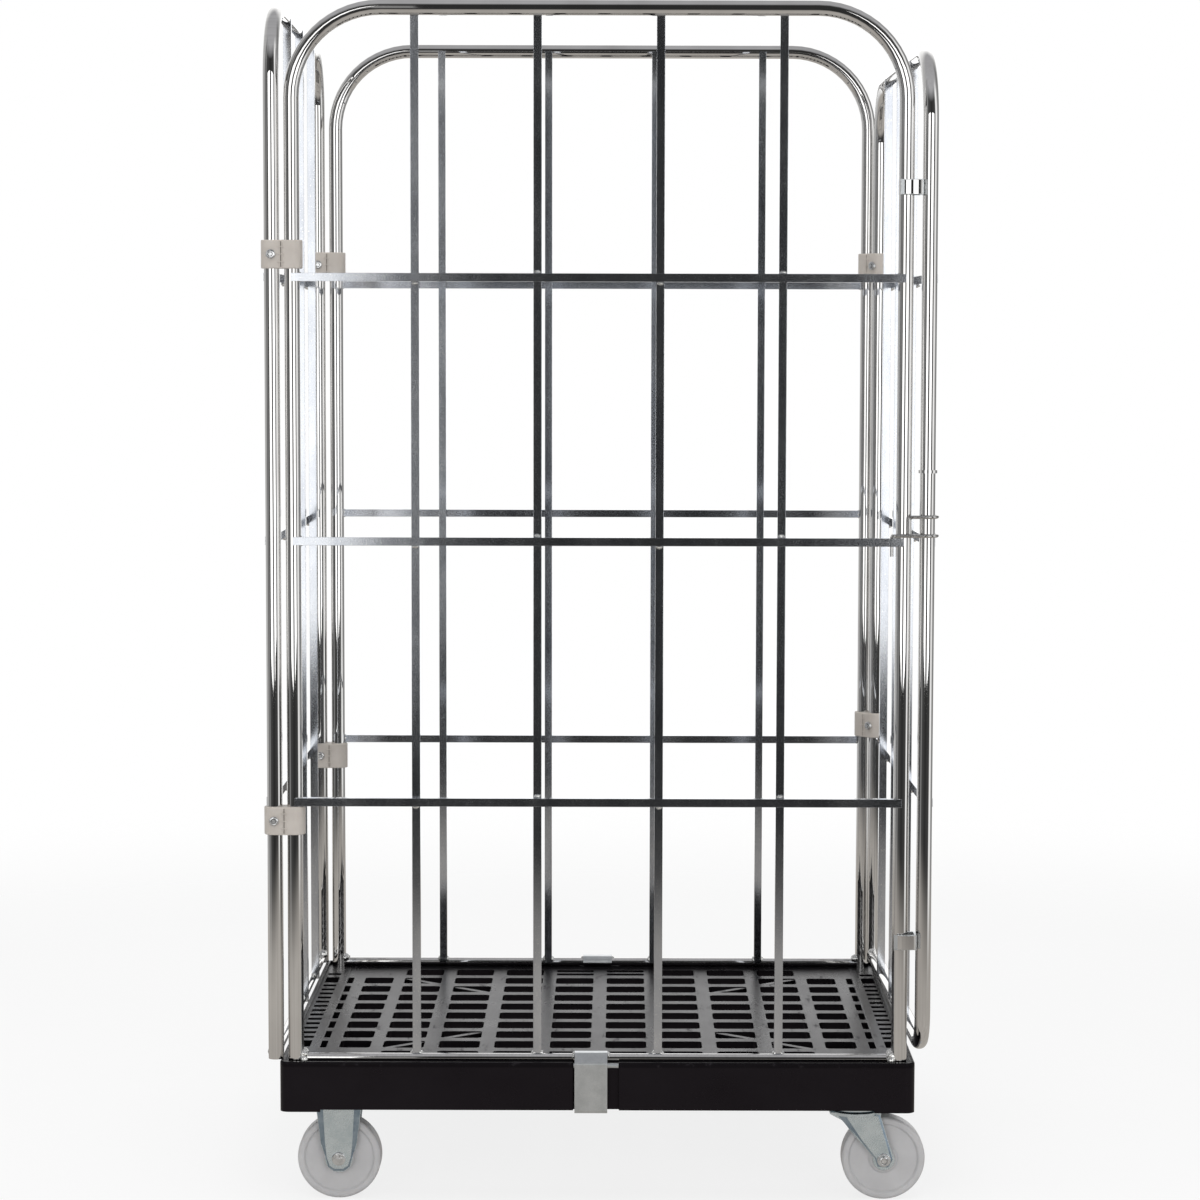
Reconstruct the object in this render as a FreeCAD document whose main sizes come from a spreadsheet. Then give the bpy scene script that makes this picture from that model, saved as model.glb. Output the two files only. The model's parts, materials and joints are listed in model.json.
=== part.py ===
import FreeCAD, Part
import math
import os
import Sketcher
from FreeCAD import Placement, Rotation, Vector

# Four-sided roll cage container: a moulded base on four castors, three fixed
# tube-and-bar panels and a door that swings on the rear right upright.
# Frame: +X to the door side, +Y to the rear, +Z up, origin on the floor under
# the centre of the base. All sizes in millimetres.

SHEET = "Sizes"

# Clearances of drilled holes, and how far joined shapes run into each other.
HOLE_FIT = 0.1
PIN_FIT = 0.2
PLATE_FIT = 0.3
OVERLAP = 1.0

DRIVING = {
    # moulded base
    "base_length": 815.0,
    "base_width": 724.0,
    "base_corner": 12.0,
    "rim_top": 189.0,
    "rim_width": 6.0,
    "rim_round": 2.0,
    "border_top": 184.8,
    "deck_top": 184.0,
    "deck_depth": 16.0,
    "load_length": 734.0,
    "load_width": 652.0,
    "skirt_bottom": 124.0,
    "skirt_lift": 3.0,
    "skirt_wall": 5.0,
    "foot_length": 52.0,
    # openings through the deck
    "rib_pitch_long": 73.3,
    "rib_pitch_cross": 64.3,
    "opening_long": 54.0,
    "opening_cross": 44.0,
    "opening_corner": 6.0,
    "edge_opening_centre": 320.5,
    "edge_opening_width": 41.0,
    "narrow_slot_centre": 361.8,
    "narrow_slot_width": 8.5,
    "side_slot_centre": 388.5,
    "side_slot_width": 19.0,
    "side_slot_height": 14.0,
    "side_slot_pitch": 30.4,
    "side_window_height": 40.0,
    "side_end_slot": 270.0,
    "end_row_centre": 289.0,
    "split_height": 15.0,
    "split_offset": 12.8,
    "diagonal_rib": 7.0,
    # castor seats, upright sockets and strap notches
    "seat_inner_x": 286.0,
    "seat_inner_y": 250.0,
    "seat_bottom": 136.0,
    "socket_bottom": 140.0,
    "notch_left": -31.0,
    "notch_right": 27.5,
    "notch_depth": 7.0,
    # steel panels
    "upright_x": 387.5,
    "upright_y": 342.0,
    "tube_radius": 10.0,
    "tube_wall": 1.5,
    "bar_side": 10.5,
    "panel_top": 1527.0,
    "corner_bend": 112.0,
    "side_bend": 90.0,
    "mid_rail": 856.6,
    "rail_pitch": 333.4,
    "bar_spacing": 155.0,
    "rail_radius": 6.0,
    "low_rail": 191.0,
    # fixed side panel
    "panel_gap": 25.6,
    "side_panel_bottom": 190.0,
    "side_low_rail": 197.5,
    "side_bar_spacing": 171.0,
    # door
    "door_front_x": 417.5,
    "door_back_x": 403.5,
    "door_back_y": 322.0,
    "door_top": 1475.0,
    "door_low": 205.5,
    "door_low_bend": 45.0,
    "hook_sheet": 2.5,
    "hook_height": 19.3,
    "hook_reach": 39.0,
    "hook_gap": 1.6,
    "hook_upper": 1304.5,
    "hook_lower": 344.5,
    "stop_bead": 946.5,
    "stop_bead_rise": 2.3,
    "stop_bead_height": 4.0,
    # plastic clips
    "clip_radius": 13.5,
    "clip_round": 1.5,
    "clip_height": 36.0,
    "clip_upper": 1218.5,
    "clip_lower": 499.0,
    "door_clip_lower": 547.6,
    "clip_fit": 0.08,
    "screw_radius": 2.5,
    "screw_head": 6.0,
    "screw_head_height": 2.4,
    "screw_end": 5.0,
    "nut_flats": 8.0,
    "screw_nut_height": 4.0,
    # base straps
    "strap_width": 42.0,
    "strap_sheet": 3.0,
    "front_strap_x": -8.3,
    "rear_strap_x": 4.5,
    "strap_shoulder": -10.0,
    "strap_gap": 2.7,
    "strap_bend": 4.0,
    "strap_foot": 7.0,
    "strap_foot_bend": 3.0,
    "pin_radius": 3.0,
    "pin_length": 57.5,
    "pin_height": 185.0,
    # latch
    "wire_radius": 2.25,
    "wire_bend": 4.0,
    "wire_gap": 0.55,
    "latch_hook_x": 373.0,
    "latch_hook_gap": 1.25,
    "latch_riser_x": 394.0,
    "latch_arm": 865.0,
    "latch_top": 889.0,
    "latch_foot": 838.0,
    # castors
    "castor_x": 335.0,
    "castor_y": 300.0,
    "trail": 36.0,
    "wheel_radius": 54.0,
    "wheel_half": 16.0,
    "hub_half": 18.0,
    "hub_radius": 16.5,
    "hub_slope": 3.0,
    "rim_band": 8.0,
    "web_depth": 2.5,
    "tread_round": 4.5,
    "leg_inner": 19.5,
    "leg_sheet": 3.0,
    "leg_rib": 1.2,
    "fixed_lobe": 18.0,
    "swivel_lobe": 14.0,
    "bush_radius": 6.0,
    "running_fit": 0.05,
    "axle_radius": 4.0,
    "axle_flats": 13.0,
    "plate_length": 100.0,
    "plate_width": 80.0,
    "plate_sheet": 4.0,
    "plate_corner": 8.0,
    "bolt_step_x": 40.0,
    "bolt_step_y": 30.0,
    "crown_top": 116.0,
    "crown_sheet": 4.0,
    "crown_radius": 34.0,
    "race_radius": 36.0,
    "race_foot": 29.0,
    "kingpin_radius": 6.0,
    "kingpin_flats": 18.0,
    "kingpin_head": 5.0,
    "kingpin_end": 9.0,
    "kingpin_nut": 6.5,
    "bolt_head": 5.3,
    "bolt_reach": 20.0,
    "axle_nut": 6.5,
    "axle_end": 8.0,
    "swivel_gap": 0.4,
}

doc = FreeCAD.newDocument("roll_cage_container")
sheet = doc.addObject("Spreadsheet::Sheet", SHEET)
for row, (alias, value) in enumerate(DRIVING.items(), start=1):
    sheet.set(f"A{row}", alias)
    sheet.set(f"B{row}", str(value))
    sheet.setAlias(f"B{row}", alias)
doc.recompute()

parts = []
waiting = {}


class Size:
    """A length that carries both its number and its spreadsheet formula."""

    def __init__(self, number, formula=None):
        self.number = float(number)
        self.formula = formula if formula else f"({self.number:.6f})"

    def __add__(self, other):
        other = as_size(other)
        return Size(self.number + other.number, f"({self.formula} + {other.formula})")

    def __sub__(self, other):
        other = as_size(other)
        return Size(self.number - other.number, f"({self.formula} - {other.formula})")

    def __mul__(self, factor):
        return Size(self.number * factor, f"({self.formula} * ({factor}))")

    def __truediv__(self, divisor):
        return Size(self.number / divisor, f"({self.formula} / ({divisor}))")

    def __neg__(self):
        return self * -1

    def __radd__(self, other):
        return as_size(other) + self

    def __rsub__(self, other):
        return as_size(other) - self

    def __rmul__(self, factor):
        return self * factor


def as_size(value):
    return value if isinstance(value, Size) else Size(value)


def size(alias):
    return Size(DRIVING[alias], f"{SHEET}.{alias}")


def bind(item, prop, value):
    """Sets a property from a size and keeps it tied to the sheet."""
    item.setExpression(prop, as_size(value).formula)


def number(value):
    return as_size(value).number


# ---------------------------------------------------------------- placements

def place(item, x=0, y=0, z=0, turn=0.0):
    """Gives a sub-part its place: a point, and a turn in degrees about +Z."""
    item.Placement = Placement(
        Vector(number(x), number(y), number(z)), Rotation(Vector(0, 0, 1), turn)
    )
    for axis, value in zip("xyz", (x, y, z)):
        bind(item, f"Placement.Base.{axis}", value)


# ------------------------------------------------------ bodies and sketches

def new_body(name):
    body = doc.addObject("PartDesign::Body", name)
    body.Label = name
    body.AllowCompound = True
    parts.append(body)
    return body


def sketch_on(body, name, role, offset=0):
    """A sketch on one of the body's origin planes, moved along the normal."""
    sketch = body.newObject("Sketcher::SketchObject", name)
    plane = next(item for item in body.Origin.OriginFeatures if item.Role == role)
    sketch.AttachmentSupport = [(plane, "")]
    sketch.MapMode = "FlatFace"
    sketch.AttachmentOffset = Placement(Vector(0, 0, number(offset)), Rotation())
    bind(sketch, "AttachmentOffset.Base.z", offset)
    return sketch


def constrain(sketch, constraint, value=None):
    """Keeps a constraint until settle() adds them all in one solve."""
    waiting.setdefault(sketch.Name, []).append((constraint, value))


def settle(sketch):
    """Adds a sketch's waiting constraints and ties their sizes to the sheet."""
    entries = waiting.pop(sketch.Name, [])
    first = sketch.ConstraintCount
    sketch.addConstraint([constraint for constraint, value in entries])
    for index, (constraint, value) in enumerate(entries, start=first):
        if value is not None:
            bind(sketch, f"Constraints[{index}]", value)


def fix_point(sketch, item, point, x, y):
    """Ties one point of the sketch to its distances from the origin."""
    for kind, value in (("DistanceX", x), ("DistanceY", y)):
        constrain(sketch, Sketcher.Constraint(kind, -1, 1, item, point, number(value)), value)


def fix_radius(sketch, item, radius):
    constrain(sketch, Sketcher.Constraint("Radius", item, number(radius)), radius)


def circle(sketch, x, y, radius):
    shape = Part.Circle(Vector(number(x), number(y), 0), Vector(0, 0, 1), number(radius))
    item = sketch.addGeometry(shape, False)
    fix_radius(sketch, item, radius)
    fix_point(sketch, item, 3, x, y)


def outline(sketch, points):
    """A closed outline of straight lines through the given points."""
    spots = [Vector(number(x), number(y), 0) for x, y in points]
    count = len(spots)
    items = [
        sketch.addGeometry(Part.LineSegment(spots[i], spots[(i + 1) % count]), False)
        for i in range(count)
    ]
    for i, item in enumerate(items):
        following = items[(i + 1) % count]
        constrain(sketch, Sketcher.Constraint("Coincident", item, 2, following, 1))
        fix_point(sketch, item, 1, *points[i])


def rectangle(sketch, x0, y0, x1, y1):
    outline(sketch, [(x0, y0), (x1, y0), (x1, y1), (x0, y1)])


def hexagon(sketch, x, y, flats):
    """A hexagon given by its width across flats."""
    reach = as_size(flats) / math.sqrt(3)
    angles = [math.radians(60 * step) for step in range(6)]
    outline(sketch, [(x + reach * math.cos(a), y + reach * math.sin(a)) for a in angles])


def rounded_rectangle(sketch, x, y, width, height, corner):
    """A rectangle about (x, y) with rounded corners, held by its arc centres."""
    cx, cy = number(x), number(y)
    radius = number(corner)
    dx, dy = number(width) / 2 - radius, number(height) / 2 - radius
    centres = [(dx, dy), (-dx, dy), (-dx, -dy), (dx, -dy)]
    arcs = []
    for quarter, (sx, sy) in enumerate(centres):
        middle = Part.Circle(Vector(cx + sx, cy + sy, 0), Vector(0, 0, 1), radius)
        start = quarter * math.pi / 2
        arcs.append(sketch.addGeometry(Part.ArcOfCircle(middle, start, start + math.pi / 2), False))
    outwards = [(0, 1), (-1, 0), (0, -1), (1, 0)]
    for quarter, (ox, oy) in enumerate(outwards):
        here, there = centres[quarter], centres[(quarter + 1) % 4]
        ends = [Vector(cx + px + ox * radius, cy + py + oy * radius, 0) for px, py in (here, there)]
        line = sketch.addGeometry(Part.LineSegment(*ends), False)
        following = arcs[(quarter + 1) % 4]
        constrain(sketch, Sketcher.Constraint("Tangent", arcs[quarter], 2, line, 1))
        constrain(sketch, Sketcher.Constraint("Tangent", line, 2, following, 1))
    for item in arcs[1:]:
        constrain(sketch, Sketcher.Constraint("Equal", arcs[0], item))
    fix_radius(sketch, arcs[0], corner)
    half_x, half_y = width / 2 - corner, height / 2 - corner
    fix_point(sketch, arcs[0], 3, x + half_x, y + half_y)
    fix_point(sketch, arcs[2], 3, x - half_x, y - half_y)


def bent_path(sketch, points, bends):
    """An open path of straight runs joined by tangent arcs."""
    spots = [Vector(number(x), number(y), 0) for x, y in points]
    starts, ends, arcs = [spots[0]], [], []
    for before, here, after, bend in zip(spots, spots[1:], spots[2:], bends):
        back = (before - here).normalize()
        ahead = (after - here).normalize()
        half = back.getAngle(ahead) / 2
        reach = number(bend) / math.tan(half)
        enter, leave = here + back * reach, here + ahead * reach
        inwards = (back + ahead).normalize()
        middle = here + inwards * (number(bend) / math.sin(half) - number(bend))
        ends.append(enter)
        starts.append(leave)
        arcs.append(Part.Arc(enter, middle, leave))
    ends.append(spots[-1])
    lines = [
        sketch.addGeometry(Part.LineSegment(begin, finish), False)
        for begin, finish in zip(starts, ends)
    ]
    fix_point(sketch, lines[0], 1, *points[0])
    fix_point(sketch, lines[-1], 2, *points[-1])
    for i, (arc, bend) in enumerate(zip(arcs, bends)):
        item = sketch.addGeometry(arc, False)
        clockwise = sketch.getPoint(item, 1).distanceToPoint(ends[i]) > 1e-6
        first, last = (2, 1) if clockwise else (1, 2)
        constrain(sketch, Sketcher.Constraint("Tangent", lines[i], 2, item, first))
        constrain(sketch, Sketcher.Constraint("Tangent", item, last, lines[i + 1], 1))
        fix_radius(sketch, item, bend)
    for i in range(1, len(points) - 1):
        corner = sketch.addGeometry(Part.Point(spots[i]), True)
        fix_point(sketch, corner, 1, *points[i])
        constrain(sketch, Sketcher.Constraint("PointOnObject", corner, 1, lines[i - 1]))
        constrain(sketch, Sketcher.Constraint("PointOnObject", corner, 1, lines[i]))


def pad(body, sketch, length, flip=False, middle=False):
    settle(sketch)
    feature = body.newObject("PartDesign::Pad", sketch.Name + "_pad")
    feature.Profile = sketch
    feature.Length = number(length)
    bind(feature, "Length", length)
    feature.Reversed = flip
    feature.Midplane = middle
    return feature


def pocket(body, sketch, depth=None, flip=False):
    """Cuts to a depth, or right through both ways when no depth is given."""
    settle(sketch)
    feature = body.newObject("PartDesign::Pocket", sketch.Name + "_cut")
    feature.Profile = sketch
    feature.Refine = False
    if depth is None:
        feature.Type = "ThroughAll"
        feature.Midplane = True
    else:
        feature.Length = number(depth)
        bind(feature, "Length", depth)
        feature.Reversed = flip
    return feature


def repeat_both_ways(body, feature, span_x, count_x, span_y, count_y):
    """Repeats a feature in a grid; each span is first to last."""
    pattern = body.newObject("PartDesign::LinearPattern", feature.Name + "_grid")
    pattern.Originals = [feature]
    pattern.Refine = False
    runs = (("", "X_Axis", span_x, count_x), ("2", "Y_Axis", span_y, count_y))
    for suffix, role, span, count in runs:
        axis = next(item for item in body.Origin.OriginFeatures if item.Role == role)
        setattr(pattern, "Direction" + suffix, (axis, [""]))
        setattr(pattern, "Length" + suffix, number(span))
        bind(pattern, "Length" + suffix, span)
        setattr(pattern, "Occurrences" + suffix, count)
    body.Tip = pattern
    return pattern


def round_edges(body, feature, radius, wanted):
    """Rounds the edges of a feature for which wanted(edge) is true."""
    doc.recompute()
    names = [
        f"Edge{i}" for i, edge in enumerate(feature.Shape.Edges, start=1) if wanted(edge)
    ]
    rounded = body.newObject("PartDesign::Fillet", feature.Name + "_round")
    rounded.Base = (feature, names)
    rounded.Radius = number(radius)
    bind(rounded, "Radius", radius)
    return rounded


def revolve(body, sketch, axis):
    settle(sketch)
    feature = body.newObject("PartDesign::Revolution", sketch.Name + "_turn")
    feature.Profile = sketch
    feature.ReferenceAxis = (sketch, [axis])
    feature.Angle = 360
    return feature


def sweep(body, profile, spine):
    settle(profile)
    settle(spine)
    feature = body.newObject("PartDesign::AdditivePipe", profile.Name + "_sweep")
    feature.Profile = profile
    feature.Spine = (spine, [])
    return feature


def level_edge(edge, height):
    box = edge.BoundBox
    return abs(box.ZMin - height) < 1e-4 and abs(box.ZMax - height) < 1e-4


# ------------------------------------------------------------------- base

def make_base():
    body = new_body("base_platform")
    half_x, half_y = size("base_length") / 2, size("base_width") / 2
    bottom, rim = size("skirt_bottom"), size("rim_top")
    wall, lip = size("skirt_wall"), size("rim_width")
    deck_under = size("border_top") - size("deck_depth")

    block = sketch_on(body, "block", "XY_Plane", bottom)
    rounded_rectangle(block, 0, 0, half_x * 2, half_y * 2, size("base_corner"))
    solid = pad(body, block, rim - bottom)
    solid = round_edges(
        body, solid, size("rim_round"), lambda edge: level_edge(edge, number(rim))
    )

    border = sketch_on(body, "border", "XY_Plane", rim)
    rounded_rectangle(border, 0, 0, (half_x - lip) * 2, (half_y - lip) * 2, size("rim_width"))
    pocket(body, border, rim - size("border_top"))
    load = sketch_on(body, "load_panel", "XY_Plane", size("border_top"))
    rectangle(
        load,
        size("load_length") / -2, size("load_width") / -2,
        size("load_length") / 2, size("load_width") / 2,
    )
    pocket(body, load, size("border_top") - size("deck_top"))

    hollow = sketch_on(body, "hollow", "XY_Plane", bottom)
    rectangle(hollow, wall - half_x, wall - half_y, half_x - wall, half_y - wall)
    pocket(body, hollow, deck_under - bottom, flip=True)

    lifts = sketch_on(body, "skirt_lifts", "XY_Plane", bottom)
    reach_x, reach_y = half_x - size("foot_length"), half_y - size("foot_length")
    for side in (-1, 1):
        low_y, low_x = half_y * side - wall - OVERLAP, half_x * side - wall - OVERLAP
        high_y, high_x = half_y * side + wall + OVERLAP, half_x * side + wall + OVERLAP
        rectangle(lifts, reach_x * -1, low_y, reach_x, high_y)
        rectangle(lifts, low_x, reach_y * -1, high_x, reach_y)
    pocket(body, lifts, size("skirt_lift"), flip=True)

    make_castor_seats(body, half_x - wall, half_y - wall, deck_under)
    make_notches(body, half_y, wall)
    make_openings(body, deck_under)
    make_diagonal_ribs(body, deck_under)


def make_openings(body, deck_under):
    """The rectangular openings between the ribs of the deck."""
    pitch_x, pitch_y = size("rib_pitch_long"), size("rib_pitch_cross")
    wide, tall, corner = size("opening_long"), size("opening_cross"), size("opening_corner")
    first_x, first_y = pitch_x * -3.5, pitch_y * -3.5
    end_y, slot_x = size("end_row_centre"), size("side_slot_centre")
    slot_wide, slot_tall = size("side_slot_width"), size("side_slot_height")

    def opening_grid(name, rectangles, span_x, count_x, span_y, count_y):
        """Cuts rounded rectangles through the deck and repeats them both ways."""
        sketch = sketch_on(body, name, "XY_Plane", size("border_top"))
        for x, y, width, height, radius in rectangles:
            rounded_rectangle(sketch, x, y, width, height, radius)
        cut = pocket(body, sketch, size("border_top") - deck_under)
        repeat_both_ways(body, cut, span_x, count_x, span_y, count_y)

    opening_grid(
        "deck_openings", [(first_x, first_y, wide, tall, corner)],
        pitch_x * 7, 8, pitch_y * 7, 8,
    )
    opening_grid(
        "edge_openings",
        [(size("edge_opening_centre") * -1, first_y, size("edge_opening_width"), tall, corner)],
        size("edge_opening_centre") * 2, 2, pitch_y * 7, 8,
    )
    opening_grid(
        "narrow_slots",
        [(size("narrow_slot_centre") * -1, first_y, size("narrow_slot_width"), tall, corner / 2)],
        size("narrow_slot_centre") * 2, 2, pitch_y * 7, 8,
    )
    opening_grid(
        "end_openings",
        [(pitch_x * column, end_y * -1, wide, tall, corner) for column in (-3.5, 1.5)],
        pitch_x * 2, 3, end_y * 2, 2,
    )
    opening_grid(
        "split_openings",
        [
            (
                pitch_x * -0.5, size("split_offset") * side - end_y,
                wide, size("split_height"), corner / 2,
            )
            for side in (-1, 1)
        ],
        pitch_x, 2, end_y * 2, 2,
    )
    step = size("side_slot_pitch")
    opening_grid(
        "side_slots", [(slot_x * -1, step * -6, slot_wide, slot_tall, corner / 3)],
        slot_x * 2, 2, step * 12, 13,
    )
    opening_grid(
        "side_windows",
        [(slot_x * -1, first_y, slot_wide, size("side_window_height"), corner / 3)],
        slot_x * 2, 2, pitch_y * 7, 2,
    )
    last_y = size("side_end_slot")
    opening_grid(
        "side_end_slots", [(slot_x * -1, last_y * -1, slot_wide, slot_tall, corner / 3)],
        slot_x * 2, 2, last_y * 2, 2,
    )


def make_diagonal_ribs(body, deck_under):
    """Four ribs that run from the castor seats towards the middle."""
    ribs = sketch_on(body, "diagonal_ribs", "XY_Plane", deck_under)
    outer_x, outer_y = size("seat_inner_x") + OVERLAP, size("seat_inner_y") + OVERLAP
    inner_x, inner_y = size("rib_pitch_long") * 2, size("rib_pitch_cross") * 2
    half = size("diagonal_rib") / 2
    for side_x in (-1, 1):
        for side_y in (-1, 1):
            outline(ribs, [
                ((outer_x + half) * side_x, (outer_y - half) * side_y),
                ((outer_x - half) * side_x, (outer_y + half) * side_y),
                ((inner_x - half) * side_x, (inner_y + half) * side_y),
                ((inner_x + half) * side_x, (inner_y - half) * side_y),
            ])
    pad(body, ribs, size("deck_top") - deck_under - OVERLAP)


def make_castor_seats(body, inner_x, inner_y, deck_under):
    """Solid corner blocks over the castors, with the upright sockets."""
    seats = sketch_on(body, "castor_seats", "XY_Plane", size("seat_bottom"))
    sockets = sketch_on(body, "upright_sockets", "XY_Plane", size("rim_top"))
    bolts = sketch_on(body, "bolt_holes", "XY_Plane", size("seat_bottom"))
    heads = sketch_on(body, "kingpin_recesses", "XY_Plane", size("seat_bottom"))
    for side_x in (-1, 1):
        for side_y in (-1, 1):
            rectangle(
                seats,
                size("seat_inner_x") * side_x, size("seat_inner_y") * side_y,
                (inner_x + OVERLAP) * side_x, (inner_y + OVERLAP) * side_y,
            )
            circle(
                sockets,
                size("upright_x") * side_x, size("upright_y") * side_y,
                size("tube_radius") + HOLE_FIT,
            )
            middle = (size("castor_x") * side_x, size("castor_y") * side_y)
            circle(heads, *middle, size("kingpin_radius") * 2)
            for x, y in bolt_places(*middle):
                circle(bolts, x, y, size("axle_radius") + HOLE_FIT)
    pad(body, seats, deck_under - size("seat_bottom") + OVERLAP)
    pocket(body, sockets, size("rim_top") - size("socket_bottom"))
    pocket(body, bolts, size("bolt_reach"), flip=True)
    pocket(body, heads, size("kingpin_head") + OVERLAP, flip=True)


def bolt_places(x, y):
    """The four mounting bolts about one castor's centre."""
    return [
        (x + size("bolt_step_x") * side_x, y + size("bolt_step_y") * side_y)
        for side_x in (-1, 1)
        for side_y in (-1, 1)
    ]


def make_notches(body, half_y, wall):
    """Notches in the front and rear skirts for the straps, with a back wall."""
    bottom = size("skirt_bottom")
    left, right, depth = size("notch_left"), size("notch_right"), size("notch_depth")
    floor = half_y - depth
    backs = sketch_on(body, "notch_backs", "XY_Plane", bottom + size("skirt_lift"))
    notches = sketch_on(body, "notches", "XY_Plane", size("rim_top"))
    for side in (-1, 1):
        near, past = (half_y - OVERLAP) * side, (half_y + OVERLAP) * side
        rectangle(backs, left - wall, (floor - wall) * side, right + wall, near)
        rectangle(notches, left, floor * side, right, past)
    pad(body, backs, size("border_top") - bottom - size("skirt_lift"))
    pocket(body, notches, size("rim_top") - bottom + OVERLAP)


# ----------------------------------------------------------------- panels
# A panel is drawn in the XZ plane about its own centre line: its outer side
# faces -Y and its inner side +Y. Bars stand on the inner side, rails cross
# them on the outer side, and each place() turns the panel to its wall.

def rail_levels():
    return [size("mid_rail") + size("rail_pitch") * step for step in (-1, 0, 1)]


def bent_tube(name, points, bends):
    """A round tube along a bent path that starts upright."""
    body = new_body(name)
    radius = size("tube_radius")
    spine = sketch_on(body, name + "_path", "XZ_Plane")
    bent_path(spine, points, bends)
    ring = sketch_on(body, name + "_ring", "XY_Plane", points[0][1])
    circle(ring, points[0][0], 0, radius)
    circle(ring, points[0][0], 0, radius - size("tube_wall"))
    sweep(body, ring, spine)
    return body


def box(x0, y0, z0, x1, y1, z1):
    """A block between two corners, its sizes and place tied to the sheet."""
    block = doc.addObject("Part::Box", "Block")
    for side, low, high in (("Length", x0, x1), ("Width", y0, y1), ("Height", z0, z1)):
        bind(block, side, as_size(high) - low)
    for axis, value in zip("xyz", (x0, y0, z0)):
        bind(block, f"Placement.Base.{axis}", value)
    return block


def rod(radius, length, x, y, z, along):
    """A cylinder that starts at a point and runs along +X or +Z."""
    cylinder = doc.addObject("Part::Cylinder", "Rod")
    bind(cylinder, "Radius", radius)
    bind(cylinder, "Height", length)
    if along == "X":
        cylinder.Placement.Rotation = Rotation(Vector(0, 1, 0), 90)
    for axis, value in zip("xyz", (x, y, z)):
        bind(cylinder, f"Placement.Base.{axis}", value)
    return cylinder


def group(kind, prop, items):
    joined = doc.addObject(kind, "Group")
    setattr(joined, prop, items)
    return joined


def cut_part(name, solids, tools):
    """Solids with their ends shaped to the round tubes they are welded to."""
    part = doc.addObject("Part::Cut", name)
    part.Label = name
    part.Base = group("Part::Compound", "Links", solids)
    part.Tool = group("Part::Compound", "Links", tools)
    parts.append(part)
    return part


def cross_tube(radius, half_span, z):
    """The outside of a level tube across the panel, used to shape bar ends."""
    return rod(radius, half_span * 2, half_span * -1, 0, z, "X")


def upright_pair(half_span, bottom, top):
    """The outsides of the two uprights, used to shape rail ends."""
    return [
        rod(size("tube_radius"), top - bottom, half_span * side, 0, bottom, "Z")
        for side in (-1, 1)
    ]


def upright_bars(name, half_span, places, low, low_radius, top):
    bar = size("bar_side")
    bars = [box(x - bar / 2, 0, low, x + bar / 2, bar, top) for x in places]
    ends = [cross_tube(size("tube_radius"), half_span, top), cross_tube(low_radius, half_span, low)]
    return cut_part(name, bars, ends)


def cross_rails(name, half_span, bottom, top):
    bar = size("bar_side")
    rails = [
        box(half_span * -1, bar * -1, z - bar / 2, half_span, 0, z + bar / 2)
        for z in rail_levels()
    ]
    return cut_part(name, rails, upright_pair(half_span, bottom, top))


def bottom_rail(name, half_span, level, bottom):
    rail = cross_tube(size("rail_radius"), half_span, level)
    return cut_part(name, [rail], upright_pair(half_span, bottom, bottom + 100))


def base_strap(name, centre):
    """A sheet strap hooked over the bottom rail and down the skirt's notch."""
    body = new_body(name)
    sheet_half = size("strap_sheet") / 2
    over = size("rail_radius") + sheet_half + 0.1
    level = size("low_rail")
    face = size("upright_y") - size("base_width") / 2 - sheet_half - size("strap_gap")
    foot = size("skirt_bottom") + sheet_half - 0.3
    spine = sketch_on(body, name + "_path", "YZ_Plane")
    bent_path(
        spine,
        [
            (over, level - 0.5),
            (over, level + over),
            (size("strap_shoulder"), level + over),
            (face, size("rim_top")),
            (face, foot),
            (face + size("strap_foot"), foot),
        ],
        [over, size("strap_bend"), size("strap_bend"), size("strap_foot_bend")],
    )
    half = size("strap_width") / 2
    section = sketch_on(body, name + "_section", "XY_Plane", level - 0.5)
    rectangle(section, centre - half, over - sheet_half, centre + half, over + sheet_half)
    sweep(body, section, spine)
    return body


def strap_pin(name, centre):
    body = new_body(name)
    section = sketch_on(body, name + "_section", "YZ_Plane", centre)
    forward = size("upright_y") - size("base_width") / 2 + 0.5
    circle(section, forward, size("pin_height"), size("pin_radius"))
    pad(body, section, size("pin_length"), middle=True)
    return body


def end_panel(side, turn):
    """The front or rear panel: its uprights plug into the base."""
    name = "front" if side < 0 else "rear"
    span, top, low = size("upright_x"), size("panel_top"), size("low_rail")
    bend = size("corner_bend")
    foot = size("socket_bottom")
    bars = [size("bar_spacing") * (step + 0.5) for step in range(-2, 2)]
    corners = [(span * -1, foot), (span * -1, top), (span, top), (span, foot)]
    notch_middle = (size("notch_left") + size("notch_right")) / 2
    nodes = [
        bent_tube(name + "_frame_tube", corners, [bend, bend]),
        bottom_rail(name + "_bottom_rail", span, low, foot),
        upright_bars(name + "_upright_bars", span, bars, low, size("rail_radius"), top),
        cross_rails(name + "_cross_rails", span, foot, top),
        base_strap(name + "_base_strap", size(name + "_strap_x")),
        strap_pin(name + "_strap_pin", notch_middle * (side * -1)),
    ]
    for node in nodes:
        place(node, y=size("upright_y") * side, turn=turn)


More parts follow.
